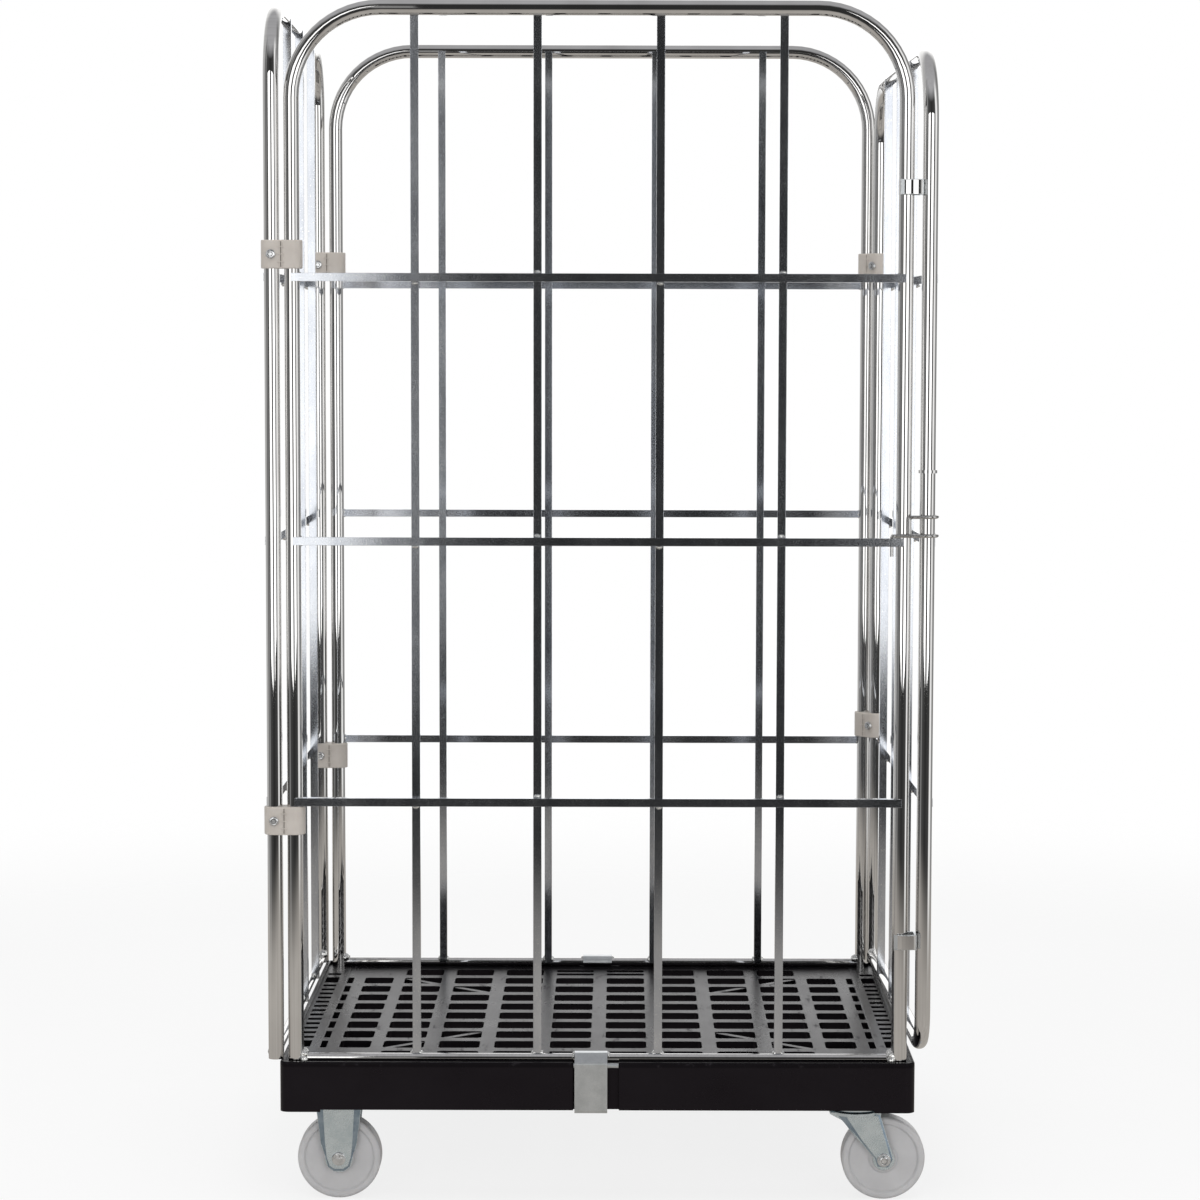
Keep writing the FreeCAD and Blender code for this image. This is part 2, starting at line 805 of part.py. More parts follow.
def side_panel():
    """The fixed left panel, held outside the uprights by four clips."""
    span, top, low = size("upright_y"), size("panel_top"), size("side_low_rail")
    foot, bend = size("side_panel_bottom"), size("side_bend")
    bars = [size("side_bar_spacing") * step for step in (-1, 0, 1)]
    corners = [(span * -1, foot), (span * -1, top), (span, top), (span, foot)]
    tube = bent_tube("left_frame_tube", corners, [bend, bend])
    # The clip screws run along the panel, so their holes are cut from its end.
    sides = sketch_on(tube, "left_clip_holes", "YZ_Plane")
    for level in ("clip_upper", "clip_lower"):
        circle(sides, 0, size(level), size("screw_radius") + HOLE_FIT)
    pocket(tube, sides)
    nodes = [
        tube,
        bottom_rail("left_bottom_rail", span, low, foot),
        upright_bars("left_upright_bars", span, bars, low, size("rail_radius"), top),
        cross_rails("left_cross_rails", span, foot, top),
    ]
    for node in nodes:
        place(node, x=size("upright_x") * -1 - size("panel_gap"), turn=-90)


# ------------------------------------------------------------------- door

def door_angle():
    """The door leans inwards to its hinge side by this many degrees."""
    lean = DRIVING["door_front_x"] - DRIVING["door_back_x"]
    run = DRIVING["door_back_y"] + DRIVING["upright_y"]
    return math.degrees(math.atan2(lean, run))


def make_door():
    """The hinged panel; its hinge side is at +X of its own frame."""
    lean = math.radians(door_angle())
    span = (size("door_back_y") + size("upright_y")) / (2 * math.cos(lean))
    top, low = size("door_top"), size("door_low")
    radius, bend = size("tube_radius"), size("side_bend")
    foot_bend = size("door_low_bend")
    foot = low - radius
    bend_end = span * -1 + foot_bend + OVERLAP
    corners = [(span, foot), (span, top), (span * -1, top), (span * -1, low), (bend_end, low)]
    tube = bent_tube("door_frame_tube", corners, [bend, bend, foot_bend])
    low_tube = cut_part(
        "door_bottom_tube",
        [rod(radius, span - bend_end, bend_end, 0, low, "X")],
        [
            rod(radius - size("tube_wall"), span * 2, span * -1, 0, low, "X"),
            rod(radius, radius * 6, span, 0, low - radius * 3, "Z"),
        ],
    )
    bars = [span * (step / 2) for step in (-1, 0, 1)]
    nodes = [
        tube,
        low_tube,
        upright_bars("door_upright_bars", span, bars, low, radius, top),
        cross_rails("door_cross_rails", span, low, top),
        door_hooks(span),
        stop_bead(span),
    ]
    middle_x = (size("door_front_x") + size("door_back_x")) / 2
    middle_y = (size("door_back_y") - size("upright_y")) / 2
    for node in nodes:
        place(node, x=middle_x, y=middle_y, turn=90 + door_angle())
    drill_door_tube(tube, span)


def door_hooks(span):
    """Two sheet channels on the closing side that straddle the front upright."""
    body = new_body("door_hooks")
    sheet_t = size("hook_sheet")
    radius, gap = size("tube_radius"), size("hook_gap")
    back = radius - PIN_FIT
    front = size("hook_reach")
    inner = radius + gap
    outer = inner + sheet_t
    middle = span * -1
    for name, level in (("upper_hook", "hook_upper"), ("lower_hook", "hook_lower")):
        channel = sketch_on(body, name, "XY_Plane", size(level))
        outline(channel, [
            (middle - outer, back), (middle + outer, back),
            (middle + outer, front), (middle + inner, front),
            (middle + inner, back + sheet_t), (middle - inner, back + sheet_t),
            (middle - inner, front), (middle - outer, front),
        ])
        pad(body, channel, size("hook_height"), middle=True)
    hollow = sketch_on(body, "tube_seat", "XY_Plane", size("hook_lower") - size("hook_height"))
    circle(hollow, middle, 0, radius)
    pocket(body, hollow)
    return body


def stop_bead(span):
    """A raised ring on the closing tube that stops the latch on its way up."""
    body = new_body("door_stop_bead")
    ring = sketch_on(body, "bead_ring", "XY_Plane", size("stop_bead"))
    circle(ring, span * -1, 0, size("tube_radius") + size("stop_bead_rise"))
    circle(ring, span * -1, 0, size("tube_radius"))
    pad(body, ring, size("stop_bead_height"), middle=True)
    return body


def drill_door_tube(tube, span):
    """Cross holes for the two clip screws, square to the clips."""
    angle = clip_angle() - 90 - door_angle()
    holes = sketch_on(tube, "door_clip_holes", "XZ_Plane")
    holes.AttachmentOffset = Placement(Vector(number(span), 0, 0), Rotation(Vector(0, 1, 0), angle))
    bind(holes, "AttachmentOffset.Base.x", span)
    for level in ("clip_upper", "door_clip_lower"):
        circle(holes, 0, size(level), size("screw_radius") + HOLE_FIT)
    drill = pocket(tube, holes, size("tube_radius") * 3)
    drill.Midplane = True


def clip_angle():
    """Direction of the door clips, from the rear upright to the door tube."""
    return math.degrees(math.atan2(
        DRIVING["door_back_y"] - DRIVING["upright_y"],
        DRIVING["door_back_x"] - DRIVING["upright_x"],
    ))


# ------------------------------------------------------------------ clips
# A clip is drawn about the upright that it holds, with the panel tube on +X.

def make_clip(name, x, y, level, turn, upright_fit):
    """A plastic block bored for two tubes, with a raised band round its middle."""
    body = new_body(name)
    radius, gap, height = size("clip_radius"), size("panel_gap"), size("clip_height")
    bore = size("tube_radius")
    long_block = sketch_on(body, name + "_block", "XY_Plane")
    rectangle(long_block, 0, radius * -1, gap, radius)
    pad(body, long_block, height, middle=True)
    for end, place_x in (("upright", 0), ("panel", gap)):
        barrel = sketch_on(body, f"{name}_{end}_end", "XY_Plane")
        circle(barrel, place_x, 0, radius)
        last = pad(body, barrel, height, middle=True)
    half = number(height) / 2
    round_edges(
        body, last, size("clip_round"),
        lambda edge: level_edge(edge, half) or level_edge(edge, -half),
    )
    bores = sketch_on(body, name + "_bores", "XY_Plane")
    circle(bores, 0, 0, bore + upright_fit)
    circle(bores, gap, 0, bore)
    pocket(body, bores)
    screw = sketch_on(body, name + "_screw_hole", "XZ_Plane")
    circle(screw, gap, 0, size("screw_radius") + HOLE_FIT)
    pocket(body, screw)
    place(body, x, y, level, turn)


def clip_screws(name, levels, rows, x):
    """Pan-head screws along Y; rows are the depths of the tubes they cross."""
    body = new_body(name + "_screws")
    nuts = new_body(name + "_nuts")
    reach = size("clip_radius")
    for i, y in enumerate(rows):
        shank = sketch_on(body, f"{name}_shank_{i}", "XZ_Plane", y * -1)
        head = sketch_on(body, f"{name}_head_{i}", "XZ_Plane", y * -1 + reach)
        nut = sketch_on(nuts, f"{name}_nut_{i}", "XZ_Plane", y * -1 - reach)
        for level in levels:
            circle(shank, x, level, size("screw_radius"))
            circle(head, x, level, size("screw_head"))
            hexagon(nut, x, level, size("nut_flats"))
            circle(nut, x, level, size("screw_radius"))
        pad(body, shank, (reach + size("screw_end")) * 2 - HOLE_FIT, middle=True)
        pad(body, head, size("screw_head_height"))
        pad(nuts, nut, size("screw_nut_height"), flip=True)
    return body, nuts


def make_clips():
    upright_x, upright_y = size("upright_x"), size("upright_y")
    upper, lower = size("clip_upper"), size("clip_lower")
    for end, side in (("front", -1), ("rear", 1)):
        for rank, level in (("upper", upper), ("lower", lower)):
            make_clip(
                f"{end}_left_{rank}_clip",
                upright_x * -1, upright_y * side, level, 180, as_size(0),
            )
    left_x = upright_x * -1 - size("panel_gap")
    clip_screws("left_clip", (upper, lower), (upright_y * -1, upright_y), left_x)
    hinge_levels = (("upper", upper), ("lower", size("door_clip_lower")))
    for rank, level in hinge_levels:
        make_clip(
            f"door_{rank}_hinge_clip", upright_x, upright_y, level, clip_angle(), size("clip_fit")
        )
    levels = [level for rank, level in hinge_levels]
    for node in clip_screws("door_clip", levels, (as_size(0),), size("panel_gap")):
        place(node, upright_x, upright_y, turn=clip_angle())


# ------------------------------------------------------------------ latch

def fillet_path(points, bends):
    """Straight edges joined by tangent arcs; a None bend makes a half turn."""
    edges = []
    here = points[0]
    for i, bend in enumerate(bends, start=1):
        corner, after = points[i], points[i + 1]
        back = (here - corner).normalize()
        ahead = (after - corner).normalize()
        half = back.getAngle(ahead) / 2
        reach = bend / math.tan(half)
        enter, leave = corner + back * reach, corner + ahead * reach
        middle = corner + (back + ahead).normalize() * (bend / math.sin(half) - bend)
        edges.append(Part.LineSegment(here, enter).toShape())
        edges.append(Part.Arc(enter, middle, leave).toShape())
        here = leave
    edges.append(Part.LineSegment(here, points[-1]).toShape())
    return edges


def make_latch():
    """One bent wire: a hook over the middle rail and two loops round the tube."""
    wire = DRIVING["wire_radius"]
    door_x, door_y = DRIVING["door_front_x"], -DRIVING["upright_y"]
    loop = DRIVING["tube_radius"] + wire + DRIVING["wire_gap"]
    front_y, back_y = door_y - loop, door_y + loop
    hook_x, riser_x = DRIVING["latch_hook_x"], DRIVING["latch_riser_x"]
    hook_y = door_y + wire + DRIVING["latch_hook_gap"]
    arm, top, foot = DRIVING["latch_arm"], DRIVING["latch_top"], DRIVING["latch_foot"]
    bend = DRIVING["wire_bend"]
    edges = fillet_path(
        [
            Vector(hook_x, hook_y, foot), Vector(hook_x, hook_y, arm),
            Vector(hook_x, front_y, arm), Vector(door_x, front_y, arm),
        ],
        [bend, bend],
    )
    edges.append(Part.Arc(
        Vector(door_x, front_y, arm), Vector(door_x + loop, door_y, arm), Vector(door_x, back_y, arm)
    ).toShape())
    back_x = door_x - bend - OVERLAP
    edges += fillet_path(
        [
            Vector(door_x, back_y, arm), Vector(back_x, back_y, arm),
            Vector(back_x, back_y, top), Vector(door_x, back_y, top),
        ],
        [bend, bend],
    )
    edges.append(Part.Arc(
        Vector(door_x, back_y, top), Vector(door_x + loop, door_y, top), Vector(door_x, front_y, top)
    ).toShape())
    edges += fillet_path(
        [
            Vector(door_x, front_y, top), Vector(riser_x, front_y, top),
            Vector(riser_x, front_y, arm + wire + DRIVING["running_fit"]),
        ],
        [bend],
    )
    path = Part.Wire(edges)
    section = Part.Wire(Part.Circle(Vector(hook_x, hook_y, foot), Vector(0, 0, 1), wire).toShape())
    node = doc.addObject("Part::Feature", "latch_wire")
    node.Label = "latch_wire"
    node.Shape = path.makePipeShell([section], True, False)
    node.Placement = Placement()
    parts.append(node)


# ---------------------------------------------------------------- castors
# A castor is drawn about the centre of its plate, standing on the floor.

def make_wheel(name, x, y):
    """A solid polyamide wheel, turned about its axle."""
    body = new_body(name)
    half, hub, outer = size("wheel_half"), size("hub_half"), size("wheel_radius")
    bore = size("bush_radius") + size("running_fit")
    hub_edge = size("hub_radius")
    web = half - size("web_depth")
    section = sketch_on(body, name + "_section", "YZ_Plane")
    right = [
        (hub, bore), (hub, hub_edge), (web, hub_edge + size("hub_slope")),
        (web, outer - size("rim_band") - size("web_depth")),
        (half, outer - size("rim_band")), (half, outer),
    ]
    left = [(y_half * -1, radius) for y_half, radius in reversed(right)]
    outline(section, right + left)
    tread = revolve(body, section, "H_Axis")
    round_edges(
        body, tread, size("tread_round"),
        lambda edge: abs(edge.BoundBox.ZMax - number(outer)) < 1e-3
        and edge.BoundBox.YLength < 1e-3,
    )
    place(body, x, y, outer)


def fork_legs(body, name, outline_points, rib_points, axle_x, lobe, ceiling):
    """Two sheet legs with a raised rib, drilled for the axle."""
    axle_z = size("wheel_radius")
    outside = (size("leg_inner") + size("leg_sheet")) * 2
    legs = sketch_on(body, name + "_legs", "XZ_Plane")
    outline(legs, outline_points)
    pad(body, legs, outside, middle=True)
    lobes = sketch_on(body, name + "_lobes", "XZ_Plane")
    circle(lobes, axle_x, axle_z, lobe)
    pad(body, lobes, outside, middle=True)
    ribs = sketch_on(body, name + "_ribs", "XZ_Plane")
    outline(ribs, rib_points)
    pad(body, ribs, outside + size("leg_rib") * 2, middle=True)
    inner = size("leg_inner")
    space = sketch_on(body, name + "_wheel_space", "YZ_Plane")
    rectangle(space, inner * -1, 0, inner, ceiling)
    pocket(body, space)
    axle = sketch_on(body, name + "_axle_holes", "XZ_Plane")
    circle(axle, axle_x, axle_z, size("axle_radius") + HOLE_FIT)
    pocket(body, axle)


def plate_with_holes(body, name):
    """The castor's flat plate, bolted under a seat of the base."""
    flat = sketch_on(body, name + "_plate", "XY_Plane", size("seat_bottom"))
    rounded_rectangle(flat, 0, 0, size("plate_length"), size("plate_width"), size("plate_corner"))
    pad(body, flat, size("plate_sheet"), flip=True)


def drill_plate(body, name):
    holes = sketch_on(body, name + "_bolt_holes", "XY_Plane", size("seat_bottom"))
    for x, y in bolt_places(as_size(0), as_size(0)):
        circle(holes, x, y, size("axle_radius") + PLATE_FIT)
    pocket(body, holes, size("plate_sheet"))


def fixed_castor(name, x, y):
    body = new_body(name + "_fork")
    plate_with_holes(body, name)
    top = size("seat_bottom") - size("plate_sheet")
    axle = size("wheel_radius")
    right = [
        (as_size(30), top), (as_size(28.5), top - 17), (as_size(22.7), axle + 15),
        (as_size(17), axle + 4),
    ]
    left = [(across * -1, z) for across, z in reversed(right)]
    rib_right = [(as_size(20), top), (as_size(15.5), axle + 6), (as_size(11), axle - 7)]
    rib_left = [(across * -1, z) for across, z in reversed(rib_right)]
    fork_legs(
        body, name, right + [(as_size(0), axle)] + left, rib_right + rib_left,
        as_size(0), size("fixed_lobe"), top - size("leg_sheet"),
    )
    drill_plate(body, name)
    place(body, x, y)
    make_wheel(name + "_wheel", x, y)


def swivel_castor(name, x, y):
    """A trailing fork that turns about a kingpin under its plate."""
    top = size("seat_bottom") - size("plate_sheet")
    crown, gap = size("crown_top"), size("swivel_gap")
    pin = size("kingpin_radius")
    plate = new_body(name + "_top_plate")
    plate_with_holes(plate, name)
    race = sketch_on(plate, name + "_race", "XZ_Plane")
    outline(race, [
        (pin + PIN_FIT, top + OVERLAP), (size("race_radius"), top + OVERLAP),
        (size("race_radius"), top), (size("crown_radius"), crown + size("leg_sheet")),
        (size("race_foot"), crown + gap), (pin + PIN_FIT, crown + gap),
    ])
    revolve(plate, race, "V_Axis")
    drill_plate(plate, name)
    centre = sketch_on(plate, name + "_pin_hole", "XY_Plane", size("seat_bottom"))
    circle(centre, 0, 0, pin + PIN_FIT)
    pocket(plate, centre, size("plate_sheet") + OVERLAP)

    fork = new_body(name + "_fork")
    axle_x, axle_z = size("trail"), size("wheel_radius")
    under = crown - size("crown_sheet")
    fork_legs(
        fork, name,
        [
            (as_size(-34), crown), (as_size(-34), crown - 2), (as_size(-17), crown - 11),
            (as_size(-7), crown - 25), (axle_x - 13.4, axle_z + 3.5), (axle_x, axle_z),
            (axle_x + 13.6, axle_z + 3), (axle_x + 7.7, axle_z + 18.3),
            (as_size(32), crown - 6), (as_size(32), crown),
        ],
        [
            (as_size(-20), under), (as_size(3), axle_z + 26), (axle_x - 10, axle_z + 2),
            (axle_x - 6, axle_z - 7), (axle_x + 5, axle_z - 7), (axle_x + 9, axle_z),
            (axle_x + 2, axle_z + 22), (as_size(26), under),
        ],
        axle_x, size("swivel_lobe"), under,
    )
    disc = sketch_on(fork, name + "_crown", "XY_Plane", under)
    circle(disc, 0, 0, size("crown_radius"))
    pad(fork, disc, size("crown_sheet"))
    hole = sketch_on(fork, name + "_crown_hole", "XY_Plane", crown)
    circle(hole, 0, 0, pin + size("running_fit"))
    pocket(fork, hole, size("crown_sheet"))

    kingpin = new_body(name + "_kingpin")
    shank = sketch_on(kingpin, name + "_pin_shank", "XY_Plane", under - size("kingpin_end"))
    circle(shank, 0, 0, pin)
    pad(kingpin, shank, size("seat_bottom") - under + size("kingpin_end"))
    head = sketch_on(kingpin, name + "_pin_head", "XY_Plane", size("seat_bottom"))
    hexagon(head, as_size(0), as_size(0), size("kingpin_flats"))
    pad(kingpin, head, size("kingpin_head"))

    nut = new_body(name + "_kingpin_nut")
    ring = sketch_on(nut, name + "_pin_nut", "XY_Plane", under - gap)
    hexagon(ring, as_size(0), as_size(0), size("kingpin_flats"))
    circle(ring, 0, 0, pin)
    pad(nut, ring, size("kingpin_nut"), flip=True)

    for node in (plate, fork, kingpin, nut):
        place(node, x, y)
    make_wheel(name + "_wheel", x + size("trail"), y)
    axle_set(name, [(x + size("trail"), y)], head_side=1)


def axle_set(name, spots, head_side):
    """Bush, bolt and nut of each axle; head_side is -1 with the head in front."""
    bushes = new_body(name + "_axle_bush")
    bolts = new_body(name + "_axle_bolt")
    nuts = new_body(name + "_axle_nut")
    axle_z, shank = size("wheel_radius"), size("axle_radius")
    face = size("leg_inner") + size("leg_sheet") + size("leg_rib")
    for i, (x, y) in enumerate(spots):
        depth = y * -1
        tube = sketch_on(bushes, f"{name}_bush_{i}", "XZ_Plane", depth)
        circle(tube, x, axle_z, size("bush_radius"))
        circle(tube, x, axle_z, shank + HOLE_FIT)
        pad(bushes, tube, size("leg_inner") * 2, middle=True)
        head_face = depth + face * (head_side * -1)
        stem = sketch_on(bolts, f"{name}_shank_{i}", "XZ_Plane", head_face)
        circle(stem, x, axle_z, shank)
        pad(bolts, stem, face * 2 + size("axle_end"), flip=head_side < 0)
        head = sketch_on(bolts, f"{name}_head_{i}", "XZ_Plane", head_face)
        hexagon(head, x, axle_z, size("axle_flats"))
        pad(bolts, head, size("bolt_head"), flip=head_side > 0)
        ring = sketch_on(nuts, f"{name}_nut_{i}", "XZ_Plane", depth + face * head_side)
        hexagon(ring, x, axle_z, size("axle_flats"))
        circle(ring, x, axle_z, shank)
        pad(nuts, ring, size("axle_nut"), flip=head_side < 0)


def mounting_bolts():
    """Sixteen hex bolts that hold the castor plates under the base."""
    body = new_body("castor_mounting_bolts")
    under = size("seat_bottom") - size("plate_sheet")
    heads = sketch_on(body, "mounting_heads", "XY_Plane", under)
    shanks = sketch_on(body, "mounting_shanks", "XY_Plane", under)
    for side_x in (-1, 1):
        for side_y in (-1, 1):
            for x, y in bolt_places(size("castor_x") * side_x, size("castor_y") * side_y):
                hexagon(heads, x, y, size("axle_flats"))
                circle(shanks, x, y, size("axle_radius"))
    pad(body, heads, size("bolt_head"), flip=True)
    pad(body, shanks, size("bolt_reach"))


def make_castors():
    x, y = size("castor_x"), size("castor_y")
    fixed_castor("front_left_castor", x * -1, y * -1)
    fixed_castor("rear_left_castor", x * -1, y)
    axle_set("fixed_castor", [(x * -1, y * -1), (x * -1, y)], head_side=-1)
    swivel_castor("front_right_castor", x, y * -1)
    swivel_castor("rear_right_castor", x, y)
    mounting_bolts()


# ------------------------------------------------------------------ build

make_base()
end_panel(side=-1, turn=0)
end_panel(side=1, turn=180)
side_panel()
make_door()
make_clips()
make_latch()
make_castors()
doc.recompute()

faults = [
    f"{item.Label}: {item.State}"
    for item in doc.Objects
    if "Invalid" in item.State or "Error" in item.State
]
for part in parts:
    if part.Shape.isNull() or not part.Shape.isValid() or not part.Shape.Solids:
        faults.append(f"{part.Label}: no valid solid")
if faults:
    raise RuntimeError("\n".join(faults))

os.makedirs("parts", exist_ok=True)
for part in parts:
    part.Shape.exportStep(f"parts/{part.Label}.step")
    solids, volume = len(part.Shape.Solids), part.Shape.Volume / 1000
    print(f"{part.Label:32s} solids {solids:2d}  volume {volume:9.1f} cm3")
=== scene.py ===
import json
import math

import bmesh
import bpy
from mathutils import Matrix, Vector, noise


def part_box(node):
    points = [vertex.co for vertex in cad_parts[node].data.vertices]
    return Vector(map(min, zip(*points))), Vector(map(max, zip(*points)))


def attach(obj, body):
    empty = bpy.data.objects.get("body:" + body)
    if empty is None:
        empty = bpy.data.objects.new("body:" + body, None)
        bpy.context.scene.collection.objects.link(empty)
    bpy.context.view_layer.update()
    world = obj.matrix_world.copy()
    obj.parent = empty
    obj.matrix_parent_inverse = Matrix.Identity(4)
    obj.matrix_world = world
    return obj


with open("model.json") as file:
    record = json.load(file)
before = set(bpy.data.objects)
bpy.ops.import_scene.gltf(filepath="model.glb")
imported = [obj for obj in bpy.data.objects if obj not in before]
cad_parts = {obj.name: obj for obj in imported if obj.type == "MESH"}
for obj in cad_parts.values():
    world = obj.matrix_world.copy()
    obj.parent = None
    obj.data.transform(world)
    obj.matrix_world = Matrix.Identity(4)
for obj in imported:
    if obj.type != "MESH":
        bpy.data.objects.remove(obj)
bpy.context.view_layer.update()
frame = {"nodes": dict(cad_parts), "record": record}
nodes = frame["nodes"]

# Sizes in metres, as in the CAD.
TUBE_RADIUS = 0.010
BAR_SIDE = 0.0105
RAIL_COUNT = 3
BAR_COUNTS = {"front": 4, "rear": 4, "left": 3, "door": 3}
BEND_HEIGHTS = (1.43, 1.5)
DECK_HEIGHTS = (0.1815, 0.1835)

# Each castor and the body that its fork belongs to.
CASTORS = (
    ("front_left", "cage"), ("rear_left", "cage"),
    ("front_right", "front_swivel"), ("rear_right", "rear_swivel"),
)


# ------------------------------------------------------------ materials

# Sockets of the Mix node when it mixes colours; their names repeat.
MIX_FACTOR, MIX_FIRST, MIX_SECOND, MIX_RESULT = 0, 6, 7, 2


class Paint:
    """A node material built round one Principled shader."""

    def __init__(self, name, settings):
        self.material = bpy.data.materials.new(name)
        self.material.use_nodes = True
        self.tree = self.material.node_tree
        self.shader = self.tree.nodes["Principled BSDF"]
        self.place = self.add("ShaderNodeTexCoord").outputs["Object"]
        for socket, value in settings.items():
            self.feed(self.shader.inputs[socket], value)

    def add(self, kind, sockets=None, **settings):
        node = self.tree.nodes.new(kind)
        for name, value in settings.items():
            setattr(node, name, value)
        for socket, value in (sockets or {}).items():
            self.feed(node.inputs[socket], value)
        return node

    def feed(self, socket, value):
        if isinstance(value, bpy.types.NodeSocket):
            self.tree.links.new(value, socket)
        else:
            socket.default_value = value

    def set(self, socket, value):
        self.feed(self.shader.inputs[socket], value)

    def grain(self, scale, detail=4.0, roughness=0.5):
        """Noise from 0 to 1, with its own scale along each axis."""
        mapped = self.add("ShaderNodeMapping", {"Vector": self.place, "Scale": scale})
        texture = self.add(
            "ShaderNodeTexNoise",
            {"Vector": mapped.outputs[0], "Scale": 1.0, "Detail": detail, "Roughness": roughness},
        )
        return texture.outputs["Fac"]

    def cells(self, scale):
        """A random tone for each of many irregular grains."""
        texture = self.add("ShaderNodeTexVoronoi", {"Vector": self.place, "Scale": scale})
        return texture.outputs["Color"]

    def ramp(self, factor, stops):
        """Colours or grey levels at given places from 0 to 1 on the factor."""
        node = self.add("ShaderNodeValToRGB", {"Fac": factor})
        points = node.color_ramp.elements
        while len(points) < len(stops):
            points.new(0.5)
        for point, (position, colour) in zip(points, stops):
            point.position = position
            shade = colour if isinstance(colour, tuple) else (colour,) * 3
            point.color = (*shade, 1.0)
        return node.outputs["Color"]

    def between(self, factor, low, high):
        """A number that moves from low to high as the factor goes from 0 to 1."""
        node = self.add("ShaderNodeMapRange", {"Value": factor, "To Min": low, "To Max": high})
        return node.outputs["Result"]

    def across(self, value, low, high, **settings):
        """From 0 to 1 as the value goes from low to high."""
        node = self.add(
            "ShaderNodeMapRange", {"Value": value, "From Min": low, "From Max": high}, **settings
        )
        return node.outputs["Result"]

    def mix(self, factor, first, second):
        node = self.add("ShaderNodeMix", data_type="RGBA")
        self.feed(node.inputs[MIX_FACTOR], factor)
        self.feed(node.inputs[MIX_FIRST], first)
        self.feed(node.inputs[MIX_SECOND], second)
        return node.outputs[MIX_RESULT]

    def layer(self, factor, first, second):
        """One shader over another."""
        node = self.add("ShaderNodeMixShader")
        self.feed(node.inputs[0], factor)
        self.feed(node.inputs[1], first.outputs[0])
        self.feed(node.inputs[2], second.outputs[0])
        return node

    def math(self, operation, first, second):
        node = self.add("ShaderNodeMath", operation=operation)
        self.feed(node.inputs[0], first)
        self.feed(node.inputs[1], second)
        return node.outputs[0]

    def height(self):
        return self.add("ShaderNodeSeparateXYZ", {"Vector": self.place}).outputs["Z"]

    def relief(self, height, distance, strength, rounding=0.0):
        """Bump from a height, over edges rounded by the given radius."""
        bump = self.add(
            "ShaderNodeBump", {"Height": height, "Distance": distance, "Strength": strength}
        )
        if rounding:
            soft = self.add("ShaderNodeBevel", {"Radius": rounding}, samples=4)
            self.feed(bump.inputs["Normal"], soft.outputs[0])
        self.set("Normal", bump.outputs[0])


def drawn_tube(name, dark, light, rough_low, rough_high):
    """Bright zinc on drawn tube, with fine lines that follow its length."""
    paint = Paint(name, {"Metallic": 1.0})
    along_z = paint.grain((420.0, 420.0, 1.6), 3.0)
    along_top = paint.grain((1.6, 1.6, 420.0), 3.0)
    top = paint.across(paint.height(), *BEND_HEIGHTS)
    lines = paint.mix(top, along_z, along_top)
    cloud = paint.grain((9.0, 9.0, 5.0), 5.0, 0.6)
    speck = paint.grain((900.0, 900.0, 700.0), 2.0)
    tone = paint.mix(0.35, cloud, lines)
    paint.set("Base Color", paint.ramp(tone, [(0.3, dark), (0.68, light)]))
    dull = paint.mix(0.4, cloud, speck)
    paint.set("Roughness", paint.between(dull, rough_low, rough_high))
    paint.relief(paint.mix(0.3, lines, speck), 0.00003, 0.12)
    return paint.material


def plated_steel(name, dark, light, rough_low, rough_high, scale, edge):
    """Zinc with the cloudy flake of a plated or galvanised sheet."""
    paint = Paint(name, {"Metallic": 1.0})
    cloud = paint.grain((scale, scale, scale), 6.0, 0.62)
    flake = paint.cells(scale * 14)
    speck = paint.grain((1300.0, 1300.0, 1300.0), 2.0)
    tone = paint.mix(0.16, cloud, flake)
    paint.set("Base Color", paint.ramp(tone, [(0.3, dark), (0.72, light)]))
    paint.set("Roughness", paint.between(paint.mix(0.35, cloud, speck), rough_low, rough_high))
    paint.relief(paint.mix(0.35, cloud, speck), 0.00008, 0.6, edge)
    return paint.material


def square_bar(name):
    """Plated square bar: darker passivation with bright rubbed patches."""
    paint = Paint(name, {"Metallic": 1.0})
    cloud = paint.grain((26.0, 26.0, 10.0), 6.0, 0.6)
    speck = paint.grain((520.0, 520.0, 520.0), 3.0)
    spots = paint.ramp(speck, [(0.62, 0.0), (0.72, 1.0)])
    tone = paint.ramp(cloud, [(0.3, (0.46, 0.48, 0.52)), (0.7, (0.66, 0.68, 0.71))])
    rubbed = paint.mix(spots, tone, (0.80, 0.80, 0.78, 1.0))
    paint.set("Base Color", rubbed)
    paint.set("Roughness", paint.between(paint.mix(0.5, cloud, speck), 0.05, 0.17))
    paint.relief(paint.mix(0.4, cloud, speck), 0.00005, 0.5, 0.0007)
    return paint.material


